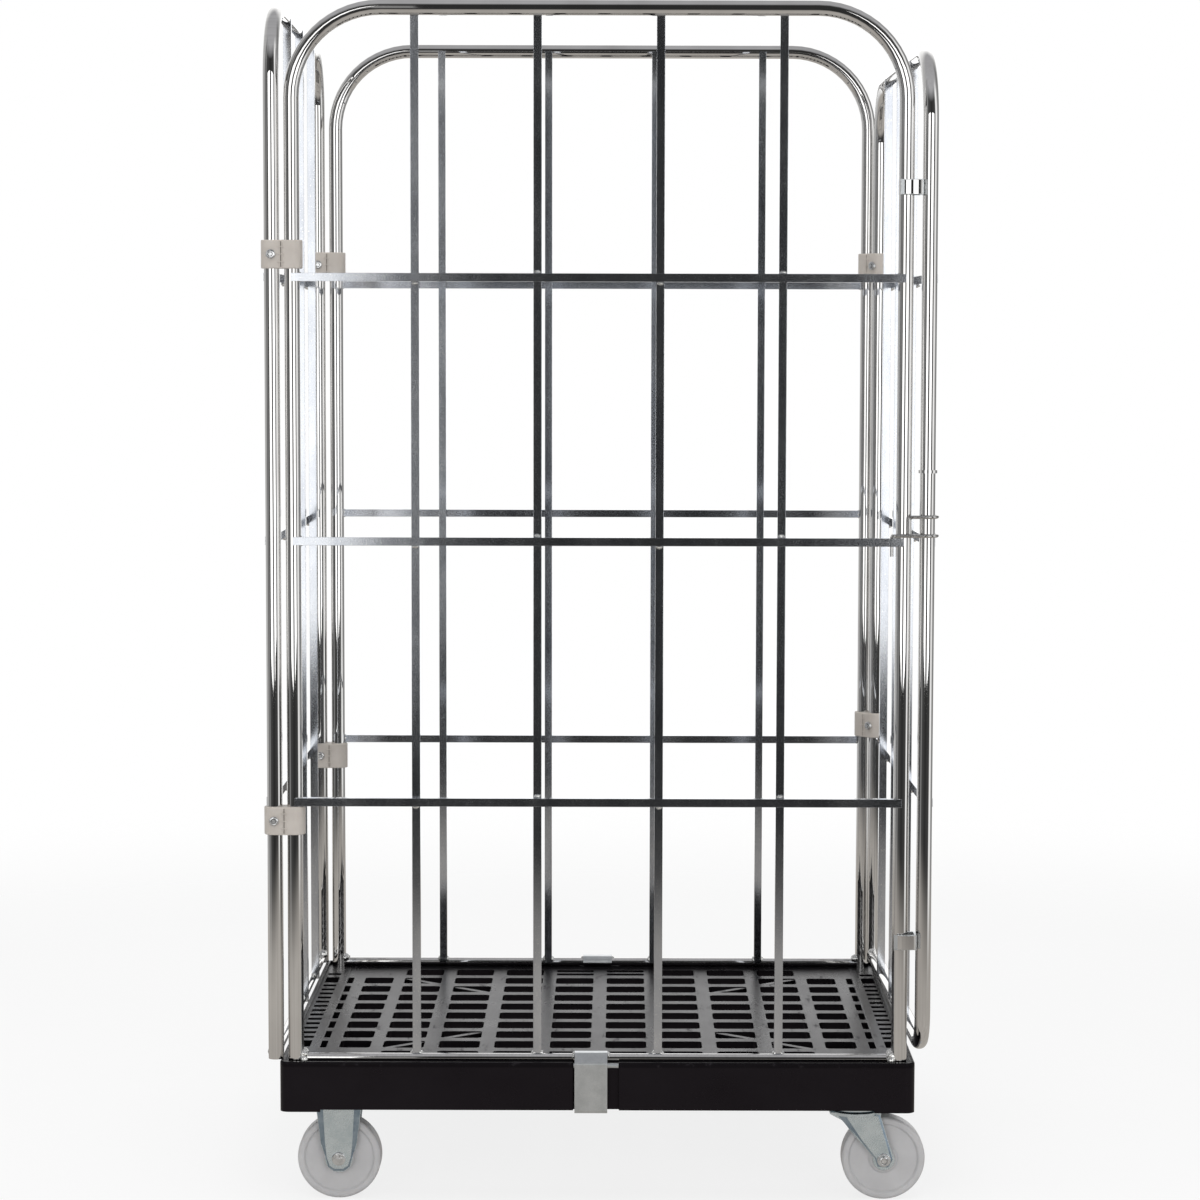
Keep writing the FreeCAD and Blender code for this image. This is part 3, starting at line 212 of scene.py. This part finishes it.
def moulded_black(name):
    """Black moulded plastic: satin, finely grained, scuffed on the deck."""
    paint = Paint(name, {"Specular Tint": (1.0, 0.84, 1.0, 1.0)})
    cloud = paint.grain((6.0, 6.0, 9.0), 6.0, 0.6)
    fine = paint.grain((1500.0, 1500.0, 1500.0), 2.0)
    flow = paint.grain((30.0, 8.0, 30.0), 5.0, 0.65)
    scuff = paint.grain((60.0, 14.0, 60.0), 8.0, 0.75)
    marks = paint.ramp(scuff, [(0.58, 0.0), (0.68, 1.0)])
    deck = paint.across(paint.height(), *DECK_HEIGHTS)
    worn = paint.math("MULTIPLY", marks, deck)
    base = paint.ramp(cloud, [
        (0.3, (0.0022, 0.0020, 0.0024)), (0.7, (0.0045, 0.0041, 0.0047)),
    ])
    paint.set("Base Color", paint.mix(worn, base, (0.022, 0.020, 0.023, 1.0)))
    paint.set("Specular IOR Level", paint.between(deck, 0.2, 0.1))
    rough = paint.between(paint.mix(0.5, flow, cloud), 0.16, 0.42)
    paint.set("Roughness", paint.mix(worn, rough, (0.55, 0.55, 0.55, 1.0)))
    paint.relief(paint.mix(0.35, flow, fine), 0.0003, 0.5, 0.0018)
    return paint.material


def moulded_plastic(name, low, high, roughness, rounding, soft):
    """Light moulded plastic with faint flow shading and a fine surface."""
    paint = Paint(name, {
        "Subsurface Weight": soft, "Subsurface Scale": 0.01,
        "Subsurface Radius": (0.6, 0.5, 0.4),
    })
    cloud = paint.grain((35.0, 35.0, 35.0), 5.0, 0.6)
    fine = paint.grain((1400.0, 1400.0, 1400.0), 2.0)
    paint.set("Base Color", paint.ramp(cloud, [(0.3, low), (0.7, high)]))
    paint.set("Roughness", paint.between(cloud, roughness - 0.07, roughness + 0.08))
    paint.relief(paint.mix(0.5, cloud, fine), 0.00012, 0.5, rounding)
    return paint.material


def weld_metal():
    """Lumpy bright weld under zinc."""
    paint = Paint("weld_zinc", {"Metallic": 1.0})
    lumps = paint.grain((260.0, 260.0, 260.0), 5.0, 0.6)
    paint.set("Base Color", paint.ramp(lumps, [
        (0.3, (0.6, 0.6, 0.59)), (0.65, (0.92, 0.92, 0.9)),
    ]))
    paint.set("Roughness", paint.between(lumps, 0.12, 0.34))
    paint.relief(lumps, 0.0006, 0.8)
    return paint.material


FINISHES = {
    "tube_zinc": drawn_tube(
        "bright_drawn_zinc", (0.60, 0.59, 0.58), (0.84, 0.835, 0.825), 0.005, 0.045,
    ),
    "bar_zinc": square_bar("square_bar_zinc"),
    "strap_zinc": plated_steel(
        "galvanised_strap", (0.53, 0.555, 0.565), (0.68, 0.70, 0.71), 0.26, 0.42, 60.0, 0.0008,
    ),
    "wire_zinc": drawn_tube(
        "latch_wire_zinc", (0.42, 0.415, 0.41), (0.66, 0.655, 0.645), 0.06, 0.16,
    ),
    "castor_zinc": plated_steel(
        "blue_passivated_zinc", (0.57, 0.66, 0.70), (0.78, 0.85, 0.88), 0.20, 0.34, 28.0, 0.0008,
    ),
    "fastener_zinc": plated_steel(
        "fastener_zinc", (0.55, 0.56, 0.57), (0.85, 0.86, 0.86), 0.16, 0.3, 120.0, 0.0005,
    ),
    "base_plastic": moulded_black("moulded_black_plastic"),
    "clip_plastic": moulded_plastic(
        "ivory_clip_plastic", (0.45, 0.412, 0.375), (0.51, 0.47, 0.43), 0.42, 0.0012, 0.12,
    ),
    "wheel_polyamide": moulded_plastic(
        "light_polyamide", (0.455, 0.45, 0.455), (0.51, 0.505, 0.51), 0.38, 0.0015, 0.15,
    ),
}
WELD = weld_metal()
# These are for pieces too small for rounded edges.
SEAM = moulded_plastic(
    "ivory_seam_plastic", (0.47, 0.43, 0.39), (0.53, 0.49, 0.45), 0.42, 0.0, 0.0,
)
# Painted shade: a dark tone laid in the groove of each clip seam.
PAINTED_GROOVE_SHADE = moulded_plastic(
    "painted_groove_shade", (0.16, 0.145, 0.13), (0.25, 0.23, 0.205), 0.7, 0.0, 0.0,
)
SHADED = plated_steel(
    "shaded_recess_zinc", (0.03, 0.03, 0.033), (0.09, 0.09, 0.095), 0.3, 0.5, 300.0, 0.0,
)
# Painted shade: a darker copy of the blue zinc for the sloped flanks of the leg pressings.
PAINTED_FLANK_SHADE = plated_steel(
    "blue_zinc_painted_flank_shade", (0.20, 0.27, 0.34), (0.42, 0.50, 0.57), 0.16, 0.3, 40.0, 0.0,
)


def dress_nodes():
    """Gives every CAD node the finish of its material slot."""
    for part in frame["record"]["subparts"]:
        node = nodes[part["node"]]
        if not node.material_slots:
            node.data.materials.append(None)
        for slot in node.material_slots:
            slot.link = "OBJECT"
            slot.material = FINISHES[part["material_slot"]]


# ---------------------------------------------------------- new pieces

def finish_piece(name, mesh, materials, body, smooth=True):
    """Turns a bmesh into an object that rides on a body."""
    data = bpy.data.meshes.new(name)
    mesh.to_mesh(data)
    mesh.free()
    for face in data.polygons:
        face.use_smooth = smooth
    for material in materials:
        data.materials.append(material)
    piece = bpy.data.objects.new(name, data)
    bpy.context.scene.collection.objects.link(piece)
    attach(piece, body)
    return piece


def add_bead(mesh, centre, radii):
    """One lumpy drop of weld."""
    lumps_per_metre = 420.0
    lump_share = 0.28
    shape = Matrix.Translation(centre) @ Matrix.Diagonal((*radii, 1.0))
    made = bmesh.ops.create_icosphere(mesh, subdivisions=3, radius=1.0, matrix=shape)
    for vert in made["verts"]:
        away = vert.co - centre
        lump = noise.noise(vert.co * lumps_per_metre)
        vert.co = centre + away * (1.0 + lump_share * lump)


def add_loops(mesh, loops, shades=None):
    """Closed skin over matching loops; shades are the material of each band."""
    rings = [[mesh.verts.new(point) for point in loop] for loop in loops]
    shades = shades or [0] * len(rings)
    for lower, upper, shade in zip(rings, rings[1:], shades):
        for i in range(len(lower)):
            j = (i + 1) % len(lower)
            mesh.faces.new((lower[i], lower[j], upper[j], upper[i])).material_index = shade
    mesh.faces.new(rings[-1]).material_index = shades[-1]
    mesh.faces.new(list(reversed(rings[0]))).material_index = shades[0]


def frame_of(normal):
    """Sideways and upward directions of a face that looks along the normal."""
    up = Vector((0, 0, 1))
    return up.cross(normal).normalized(), up


def spaced(low, high, count, width):
    """Centres of equal pieces that stand evenly between two limits."""
    first = low + width / 2
    step = (high - low - width) / (count - 1)
    return [first + step * i for i in range(count)]


def panel_line(panel):
    """The two upright centres of a panel, and the direction to its inside."""
    low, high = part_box(panel + "_frame_tube")
    if panel in ("front", "rear"):
        y = (low.y + high.y) / 2
        start = Vector((low.x + TUBE_RADIUS, y, 0))
        end = Vector((high.x - TUBE_RADIUS, y, 0))
    elif panel == "left":
        x = (low.x + high.x) / 2
        start = Vector((x, low.y + TUBE_RADIUS, 0))
        end = Vector((x, high.y - TUBE_RADIUS, 0))
    else:
        start = Vector((high.x - TUBE_RADIUS, low.y + TUBE_RADIUS, 0))
        end = Vector((low.x + TUBE_RADIUS, high.y - TUBE_RADIUS, 0))
    along = (end - start).normalized()
    inward = Vector((-along.y, along.x, 0))
    if inward.dot(-start) < 0:
        inward = -inward
    return start, end, along, inward


def raised(point, z):
    """The point, moved up by z."""
    return point + Vector((0, 0, z))


# Radii of the weld beads in metres, along X, Y and Z.
FOOT_BEAD = (0.0055 * 0.7, 0.0055 * 0.7, 0.0055)
HEAD_BEAD = (0.005 * 0.7, 0.005 * 0.7, 0.005)
CROSSING_BEAD = (0.0042, 0.0034, 0.0026)
RAIL_END_BEAD = (0.0042, 0.0042, 0.0062)
CORNER_BEAD = (0.006, 0.0052, 0.0062)
STRAP_BEAD = (0.0026, 0.0024, 0.0022)

# Where they sit: metres, or shares of a bar's side or of the tube's radius.
FOOT_RISE = 0.004  # over the middle of the bottom rail
HEAD_DROP = 0.002  # under the top of the bars
BAR_EDGE_SHARE = 0.45  # from the middle of a bar to its edges
BAR_INSET = 0.003  # towards the inside of the cage
CROSSING_SHARE = 0.66  # over or under the middle of a rail
CROSSING_OUT = 0.0012  # away from the inside
RAIL_END_SHARE = 0.95  # from the middle of an upright
RAIL_END_OUT = 0.004
CORNER_SPOTS = ((0.004, -0.004), (-0.001, -0.006), (0.006, 0.003))  # rise and inset


def weld_panel(panel, body):
    """Beads at the ends of a panel's bars and rails, and where they cross."""
    start, end, along, inward = panel_line(panel)
    bars_low, bars_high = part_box(panel + "_upright_bars")
    rails_low, rails_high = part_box(panel + "_cross_rails")
    foot_low, foot_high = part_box("door_bottom_tube" if panel == "door" else panel + "_bottom_rail")
    foot_z = (foot_low.z + foot_high.z) / 2
    if abs(along.x) > 0.5:
        across = bars_high.x - bars_low.x
    else:
        across = bars_high.y - bars_low.y
    middle = (start + end) / 2
    shifts = spaced(-across / 2, across / 2, BAR_COUNTS[panel], BAR_SIDE)
    levels = spaced(rails_low.z, rails_high.z, RAIL_COUNT, BAR_SIDE)
    mesh = bmesh.new()
    for shift in shifts:
        for z, radii in (
            (foot_z + FOOT_RISE, FOOT_BEAD), (bars_high.z - HEAD_DROP, HEAD_BEAD),
        ):
            for turn in (-1, 1):
                edge = shift + turn * BAR_SIDE * BAR_EDGE_SHARE
                centre = middle + along * edge + inward * BAR_INSET
                add_bead(mesh, raised(centre, z), radii)
    for i, shift in enumerate(shifts):
        for z in levels:
            lift = BAR_SIDE * (CROSSING_SHARE if i % 2 else -CROSSING_SHARE)
            centre = middle + along * shift - inward * CROSSING_OUT
            add_bead(mesh, raised(centre, z + lift), CROSSING_BEAD)
    for z in levels:
        for corner, turn in ((start, 1), (end, -1)):
            centre = corner + along * turn * TUBE_RADIUS * RAIL_END_SHARE
            centre -= inward * RAIL_END_OUT
            add_bead(mesh, raised(centre, z), RAIL_END_BEAD)
    joints = ((end, -1),) if panel == "door" else ((start, 1), (end, -1))
    for corner, turn in joints:
        centre = corner + along * turn * TUBE_RADIUS
        for rise, inset in CORNER_SPOTS:
            add_bead(mesh, raised(centre, foot_z + rise) + inward * inset, CORNER_BEAD)
    finish_piece(panel + "_weld_beads", mesh, [WELD], body)


def make_welds():
    for panel in BAR_COUNTS:
        weld_panel(panel, "door" if panel == "door" else "cage")


def tube_centre(name, left, front):
    """Centre of an upright of a frame tube, from the corner of its box."""
    low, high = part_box(name)
    return Vector((
        low.x + TUBE_RADIUS if left else high.x - TUBE_RADIUS,
        low.y + TUBE_RADIUS if front else high.y - TUBE_RADIUS,
        0,
    ))


def clip_lines():
    """Each clip's name, the two tubes that it joins and its body."""
    front = tube_centre("front_frame_tube", True, True)
    rear = tube_centre("rear_frame_tube", True, False)
    left_front = tube_centre("left_frame_tube", True, True)
    left_rear = tube_centre("left_frame_tube", True, False)
    upright = tube_centre("rear_frame_tube", False, False)
    door = tube_centre("door_frame_tube", True, False)
    for level in ("upper", "lower"):
        yield f"front_left_{level}_clip", left_front, front, "cage"
        yield f"rear_left_{level}_clip", left_rear, rear, "cage"
        yield f"door_{level}_hinge_clip", door, upright, "door"


def add_ridge(mesh, centre, normal, width, height, rise, shade=0):
    """A rib with sloped flanks on a face that looks along the normal."""
    across, up = frame_of(normal)
    loops = []
    for grow, out in ((1.0, -0.0008), (1.0, rise * 0.4), (0.6, rise)):
        half_width = across * (width / 2 - min(width, height) / 2 * (1 - grow))
        half_height = up * (height / 2 - min(width, height) / 2 * (1 - grow))
        middle = centre + normal * out
        loops.append([
            middle - half_width - half_height, middle + half_width - half_height,
            middle + half_width + half_height, middle - half_width + half_height,
        ])
    add_loops(mesh, loops, [shade] * len(loops))


def add_socket(mesh, centre, normal, radius, depth, flats):
    """A rounded screw head with a six-sided socket."""
    across, up = frame_of(normal)
    steps = 48

    def ring(out, reach):
        """A closed line at a height over the face, with its own radius all round."""
        points = []
        for i in range(steps):
            angle = 2 * math.pi * i / steps
            away = reach(angle)
            sideways = across * away * math.cos(angle)
            points.append(centre + normal * out + sideways + up * away * math.sin(angle))
        return points

    def hexagon(angle):
        return flats / 2 / math.cos(angle % (math.pi / 3) - math.pi / 6)

    add_loops(mesh, [
        ring(-0.0003, lambda angle: radius),
        ring(depth * 0.35, lambda angle: radius),
        ring(depth * 0.8, lambda angle: radius * 0.9),
        ring(depth, lambda angle: radius * 0.72),
        ring(depth * 0.95, lambda angle: hexagon(angle) * 1.12),
        ring(depth * 0.8, hexagon),
        ring(0.0002, lambda angle: hexagon(angle) * 0.94),
    ], [0, 0, 0, 0, 1, 1, 1])


def add_disc(mesh, centre, normal, radius, thick, shade):
    """A washer-like disc with a sloped rim."""
    across, up = frame_of(normal)
    loops = []
    for reach, out in ((1.0, -0.0004), (1.0, thick * 0.5), (0.88, thick)):
        loops.append([
            centre + normal * out
            + (across * math.cos(turn) + up * math.sin(turn)) * radius * reach
            for turn in (2 * math.pi * i / 40 for i in range(40))
        ])
    add_loops(mesh, loops, [shade] * 3)


def axle_of(corner):
    """Centre of a castor's wheel."""
    low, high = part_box(corner + "_castor_wheel")
    return (low + high) / 2


# Axle ends in metres; distances are from the middle of the wheel.
DOME_DISCS = ((0.029, 0.0052, 0.0012), (0.0301, 0.0026, 0.0006))  # distance, radius, thickness
SOCKET_DISTANCE = 0.0302
SOCKET_SIZES = (0.0064, 0.0026, 0.0066)  # radius, depth, width across flats


def make_axle_ends():
    """Domed bolt heads on the fixed castors, socket ends on the swivel ones."""
    out = Vector((0, -1, 0))
    for corner, body in CASTORS:
        axle = axle_of(corner)
        mesh = bmesh.new()
        if body == "cage":
            for distance, radius, thick in DOME_DISCS:
                add_disc(mesh, axle + out * distance, out, radius, thick, 0)
        else:
            add_socket(mesh, axle + out * SOCKET_DISTANCE, out, *SOCKET_SIZES)
        finish_piece(
            corner + "_axle_end", mesh, [FINISHES["fastener_zinc"], SHADED],
            body, False,
        )


# Clips in metres; ridges are width and rise, or width, height and rise.
CLIP_HALF_DEPTH = 0.0135
CLIP_ROUNDING = 0.004  # what the rounded ends take off its height
SCREW_HEAD_HEIGHT = 0.0024
SCREW_SOCKET = (0.0058, 0.0016, 0.0052)  # radius, depth, width across flats
SEAM_GROOVE = (0.0013, 0.0002)
SEAM_LIP = (0.0012, 0.0009)
SEAM_RIB = (0.0085, 0.0012, 0.0013)
RIB_LEVELS = (-0.3, 0.0, 0.3)  # shares of the height, from the middle


def make_clip_details():
    """Moulding seams with ribs on both faces of every clip, and screw heads."""
    groove_width, groove_rise = SEAM_GROOVE
    lip_width, lip_rise = SEAM_LIP
    seams = {"cage": bmesh.new(), "door": bmesh.new()}
    heads = {"cage": bmesh.new(), "door": bmesh.new()}
    for name, screwed, clamped, body in clip_lines():
        low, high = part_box(name)
        level = (low.z + high.z) / 2
        tall = high.z - low.z - CLIP_ROUNDING
        along = (clamped - screwed).normalized()
        normal = Vector((along.y, -along.x, 0))
        if normal.y > 0:
            normal = -normal
        middle = raised((screwed + clamped) / 2, level)
        for side in (1, -1):
            face = middle + normal * CLIP_HALF_DEPTH * side
            away = normal * side
            # The strip between the lips takes the second material, painted shade for the groove.
            add_ridge(seams[body], face, away, groove_width, tall, groove_rise, 1)
            for shift in (-groove_width, groove_width):
                add_ridge(seams[body], face + along * shift, away, lip_width, tall, lip_rise)
            for share in RIB_LEVELS:
                add_ridge(seams[body], raised(face, tall * share), away, *SEAM_RIB)
        spot = raised(screwed, level) + normal * (CLIP_HALF_DEPTH + SCREW_HEAD_HEIGHT)
        add_socket(heads[body], spot, normal, *SCREW_SOCKET)
    for body in ("cage", "door"):
        finish_piece(
            body + "_clip_seams", seams[body], [SEAM, PAINTED_GROOVE_SHADE], body, False,
        )
        finish_piece(
            body + "_screw_sockets", heads[body], [FINISHES["fastener_zinc"], SHADED], body,
            False,
        )


# Pressings of the castor legs in mm about the axle: foot and crest outlines.
FIXED_PRESSING = (
    [(29.5, 77.5), (27.8, 60), (23, 20), (17.6, 3), (13.8, -11), (6.5, -16.4)],
    [(20.5, 77.5), (19.8, 60), (17.6, 20), (15.6, 2), (11.8, -9), (5.5, -13)],
)
SWIVEL_PRESSING = (
    [(-60, 58.5), (-34, 27.5), (-12, 3), (-8, -9), (6, -10), (11.5, 0), (6, 20), (-5.5, 58.5)],
    [(-50, 58.5), (-29, 27), (-9.5, 2), (-6, -7), (4, -8), (9, 1), (3.5, 20), (-8, 58.5)],
)


def mirrored(points):
    """Adds the left half of an outline to its right half."""
    return points + [(-x, z) for x, z in reversed(points) if x]


def make_pressings():
    """Raised panels with sloped flanks on the outer faces of the castor legs."""
    leg = 0.0225  # from the middle of the wheel to the outer face of a leg
    for corner, body in CASTORS:
        axle = axle_of(corner)
        foot, crest = FIXED_PRESSING if body == "cage" else SWIVEL_PRESSING
        if body == "cage":
            foot, crest = mirrored(foot), mirrored(crest)
        mesh = bmesh.new()
        for side in (-1, 1):
            loops = []
            outlines = ((foot, -0.0004), (foot, 0.0003), (crest, 0.0026), (crest, 0.0027))
            for points, out in outlines:
                y = axle.y + side * (leg + out)
                loops.append([
                    Vector((axle.x + x / 1000, y, axle.z + z / 1000)) for x, z in points
                ])
            # The sloped flanks take the painted shade; the crest keeps the plain zinc.
            add_loops(mesh, loops, [1, 1, 0, 0])
            washer = Vector((axle.x, axle.y + side * (leg + 0.0026), axle.z))
            add_disc(mesh, washer, Vector((0, side, 0)), 0.0088, 0.0012, 2)
        bmesh.ops.recalc_face_normals(mesh, faces=mesh.faces)
        finish_piece(
            corner + "_castor_pressing", mesh,
            [FINISHES["castor_zinc"], PAINTED_FLANK_SHADE, FINISHES["fastener_zinc"]],
            body, False,
        )


def make_hook_faces():
    """A curved sheet band over the front of each door hook."""
    low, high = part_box("door_hooks")
    tall, sheet, bulge = 0.0175, 0.0016, 0.0034
    half_steps = 12
    first, last = low.x + 0.0045, high.x - 0.0015
    half = (last - first) / 2
    radius = (half * half + bulge * bulge) / (2 * bulge)
    swing = math.asin(half / radius)
    mesh = bmesh.new()
    for z in (low.z + tall / 2 + 0.001, high.z - tall / 2 - 0.001):
        centre = Vector(((first + last) / 2, low.y - bulge + radius + 0.0006, z))
        loops = []
        for i in range(2 * half_steps + 1):
            angle = swing * (i / half_steps - 1)
            away = Vector((math.sin(angle), -math.cos(angle), 0))
            rise = Vector((0, 0, tall / 2))
            outer, inner = centre + away * radius, centre + away * (radius - sheet)
            loops.append([outer - rise, outer + rise, inner + rise, inner - rise])
        add_loops(mesh, loops)
    bmesh.ops.recalc_face_normals(mesh, faces=mesh.faces)
    finish_piece("door_hook_bands", mesh, [FINISHES["tube_zinc"]], "door", False)


def make_strap_welds():
    """Tack welds round the rail at both edges of each strap."""
    reach = 0.0062
    for panel in ("front", "rear"):
        low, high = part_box(panel + "_base_strap")
        rail_low, rail_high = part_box(panel + "_bottom_rail")
        rail = (rail_low + rail_high) / 2
        out = -1 if panel == "front" else 1
        mesh = bmesh.new()
        for x in (low.x - 0.0008, high.x + 0.0008):
            for turn in (35, 60, 85):
                angle = math.radians(turn)
                y = rail.y + out * reach * math.cos(angle)
                z = rail.z + reach * math.sin(angle)
                add_bead(mesh, Vector((x, y, z)), STRAP_BEAD)
        finish_piece(panel + "_strap_welds", mesh, [WELD], "cage")


# --------------------------------------------------- floor, light, camera

WHITE = (1.0, 1.0, 1.0, 1.0)
BLACK = (0.0, 0.0, 0.0, 1.0)
FLOOR_RADIUS = 9.0
FADE_START, FADE_END = 1.6, 3.6
FLOOR_GLOW = 0.8  # share of plain white in what the camera sees of the floor
FLOOR_IN_METAL = (0.47, 0.445, 0.415, 1.0)  # what reflections see of it


def make_floor():
    """A pale disc that fades out before its rim; metal sees it less bright."""
    mesh = bmesh.new()
    bmesh.ops.create_circle(mesh, cap_ends=True, radius=FLOOR_RADIUS, segments=96)
    data = bpy.data.meshes.new("floor")
    mesh.to_mesh(data)
    mesh.free()
    floor = bpy.data.objects.new("floor", data)
    bpy.context.scene.collection.objects.link(floor)
    paint = Paint("pale_floor", {"Roughness": 0.7, "Specular IOR Level": 0.1})
    cloud = paint.grain((1.5, 1.5, 1.5), 3.0)
    paint.set("Base Color", paint.ramp(cloud, [(0.3, 0.80), (0.7, 0.83)]))
    glow = paint.add("ShaderNodeEmission", {"Color": WHITE})
    dim = paint.add("ShaderNodeEmission", {"Color": FLOOR_IN_METAL})
    ray = paint.add("ShaderNodeLightPath")
    reach = paint.add("ShaderNodeVectorMath", operation="LENGTH")
    paint.feed(reach.inputs[0], paint.place)
    fade = paint.across(
        reach.outputs["Value"], FADE_START, FADE_END, interpolation_type="SMOOTHERSTEP",
    )
    clear = paint.add("ShaderNodeBsdfTransparent")
    lit = paint.layer(FLOOR_GLOW, paint.shader, glow)
    seen = paint.layer(ray.outputs["Is Camera Ray"], paint.shader, lit)
    both = paint.layer(ray.outputs["Is Glossy Ray"], seen, dim)
    whole = paint.layer(fade, both, clear)
    paint.feed(paint.tree.nodes["Material Output"].inputs["Surface"], whole.outputs[0])
    data.materials.append(paint.material)


# Brightness of the studio walls in reflections, from 0 to 1 turn, where 0.25 is
# the camera's side and 0.75 the backdrop. A ramp holds at most 1, so the levels
# are stored divided by WALL_SCALE.
WALLS = [
    (0.000, 0.45), (0.033, 0.08), (0.075, 0.35), (0.100, 0.08), (0.250, 0.03), (0.400, 0.07),
    (0.417, 0.8), (0.464, 1.25), (0.519, 0.42), (0.589, 0.18), (0.645, 0.5), (0.700, 1.3),
    (0.750, 1.4), (0.800, 1.1), (0.870, 0.6), (0.960, 0.5),
]
WALL_SCALE = 1.5
AMBIENT = 0.66  # even light for shading
CEILING_RISE = (0.55, 0.8)  # upward share of a direction where the ceiling takes over
CEILING = (0.3, 0.3, 0.31, 1.0)


def make_world():
    """Plain white to the eye, even light for shading, walls for reflections."""
    world = bpy.data.worlds.new("studio")
    bpy.context.scene.world = world
    world.use_nodes = True
    tree = world.node_tree
    tree.nodes.clear()

    def add(kind, **settings):
        node = tree.nodes.new(kind)
        for name, value in settings.items():
            setattr(node, name, value)
        return node

    def backdrop(colour, strength):
        shader = add("ShaderNodeBackground")
        shader.inputs["Color"].default_value = colour
        shader.inputs["Strength"].default_value = strength
        return shader

    def choose(factor, first, second):
        shader = add("ShaderNodeMixShader")
        link(factor, shader.inputs[0])
        link(first.outputs[0], shader.inputs[1])
        link(second.outputs[0], shader.inputs[2])
        return shader

    link = tree.links.new
    direction = add("ShaderNodeTexCoord").outputs["Generated"]
    turn = add("ShaderNodeTexGradient", gradient_type="RADIAL")
    link(direction, turn.inputs[0])
    ramp = add("ShaderNodeValToRGB")
    points = ramp.color_ramp.elements
    while len(points) < len(WALLS):
        points.new(0.5)
    for point, (position, level) in zip(points, WALLS):
        point.position = position
        point.color = (level / WALL_SCALE,) * 3 + (1.0,)
    link(turn.outputs["Fac"], ramp.inputs[0])
    height = add("ShaderNodeSeparateXYZ")
    link(direction, height.inputs[0])
    upward = add("ShaderNodeMapRange")
    upward.inputs["From Min"].default_value, upward.inputs["From Max"].default_value = CEILING_RISE
    link(height.outputs["Z"], upward.inputs["Value"])
    ceiling = add("ShaderNodeMix", data_type="RGBA")
    ceiling.inputs[MIX_SECOND].default_value = CEILING
    link(upward.outputs["Result"], ceiling.inputs[MIX_FACTOR])
    link(ramp.outputs["Color"], ceiling.inputs[MIX_FIRST])
    walls = backdrop(BLACK, WALL_SCALE)
    link(ceiling.outputs[MIX_RESULT], walls.inputs["Color"])
    even = backdrop(WHITE, AMBIENT)
    plain = backdrop(WHITE, 1.0)
    ray = add("ShaderNodeLightPath")
    mirrored = choose(ray.outputs["Is Glossy Ray"], even, walls)
    seen = choose(ray.outputs["Is Camera Ray"], mirrored, plain)
    link(seen.outputs[0], add("ShaderNodeOutputWorld").inputs["Surface"])


def make_light(name, spot, aim, size, power, mirrored):
    data = bpy.data.lights.new(name, "AREA")
    data.shape = "RECTANGLE"
    data.size, data.size_y = size
    data.energy = power
    lamp = bpy.data.objects.new(name, data)
    bpy.context.scene.collection.objects.link(lamp)
    lamp.location = spot
    lamp.rotation_mode = "QUATERNION"
    lamp.rotation_quaternion = (Vector(aim) - Vector(spot)).to_track_quat("-Z", "Y")
    lamp.visible_camera = False
    lamp.visible_glossy = mirrored


# Name, place, point it looks at, width and height, watts, and whether metal
# mirrors it. The fringe is the soft inner edge of the left box.
LIGHTS = (
    ("left_softbox", (-2.10, -4.7, 1.5), (-1.9, 0.0, 1.2), (2.9, 2.6), 40.0, True),
    ("left_fringe", (-0.57, -4.7, 1.5), (-0.5, 0.0, 1.2), (0.16, 2.6), 0.3, True),
    ("right_softbox", (2.35, -4.7, 1.5), (2.1, 0.0, 1.2), (3.0, 2.6), 48.0, True),
    ("overhead_softbox", (-0.3, -0.9, 4.0), (0.0, 0.0, 0.0), (3.2, 3.2), 58.0, False),
)


def make_lights():
    """Tall soft boxes that show in the tubes, and one broad light above."""
    for light in LIGHTS:
        make_light(*light)


# Camera fitted to the photograph: metres and degrees.
CAMERA_PLACE = (0.0272, -4.7271, 1.1203)
CAMERA_DOWN = 4.854
CAMERA_ROLL = 0.136


def make_camera():
    data = bpy.data.cameras.new("camera")
    data.sensor_width = 36.0
    data.lens = 103.7
    data.shift_x = -0.0164
    data.shift_y = 0.0223
    camera = bpy.data.objects.new("camera", data)
    bpy.context.scene.collection.objects.link(camera)
    tilt = Matrix.Rotation(math.radians(90 - CAMERA_DOWN), 4, "X")
    roll = Matrix.Rotation(math.radians(CAMERA_ROLL), 4, "Z")
    camera.matrix_world = Matrix.Translation(CAMERA_PLACE) @ tilt @ roll
    bpy.context.scene.camera = camera


bpy.context.scene.view_settings.view_transform = "Standard"
make_camera()
make_world()
make_lights()
make_floor()
dress_nodes()
make_welds()
make_clip_details()
make_pressings()
make_axle_ends()
make_hook_faces()
make_strap_welds()
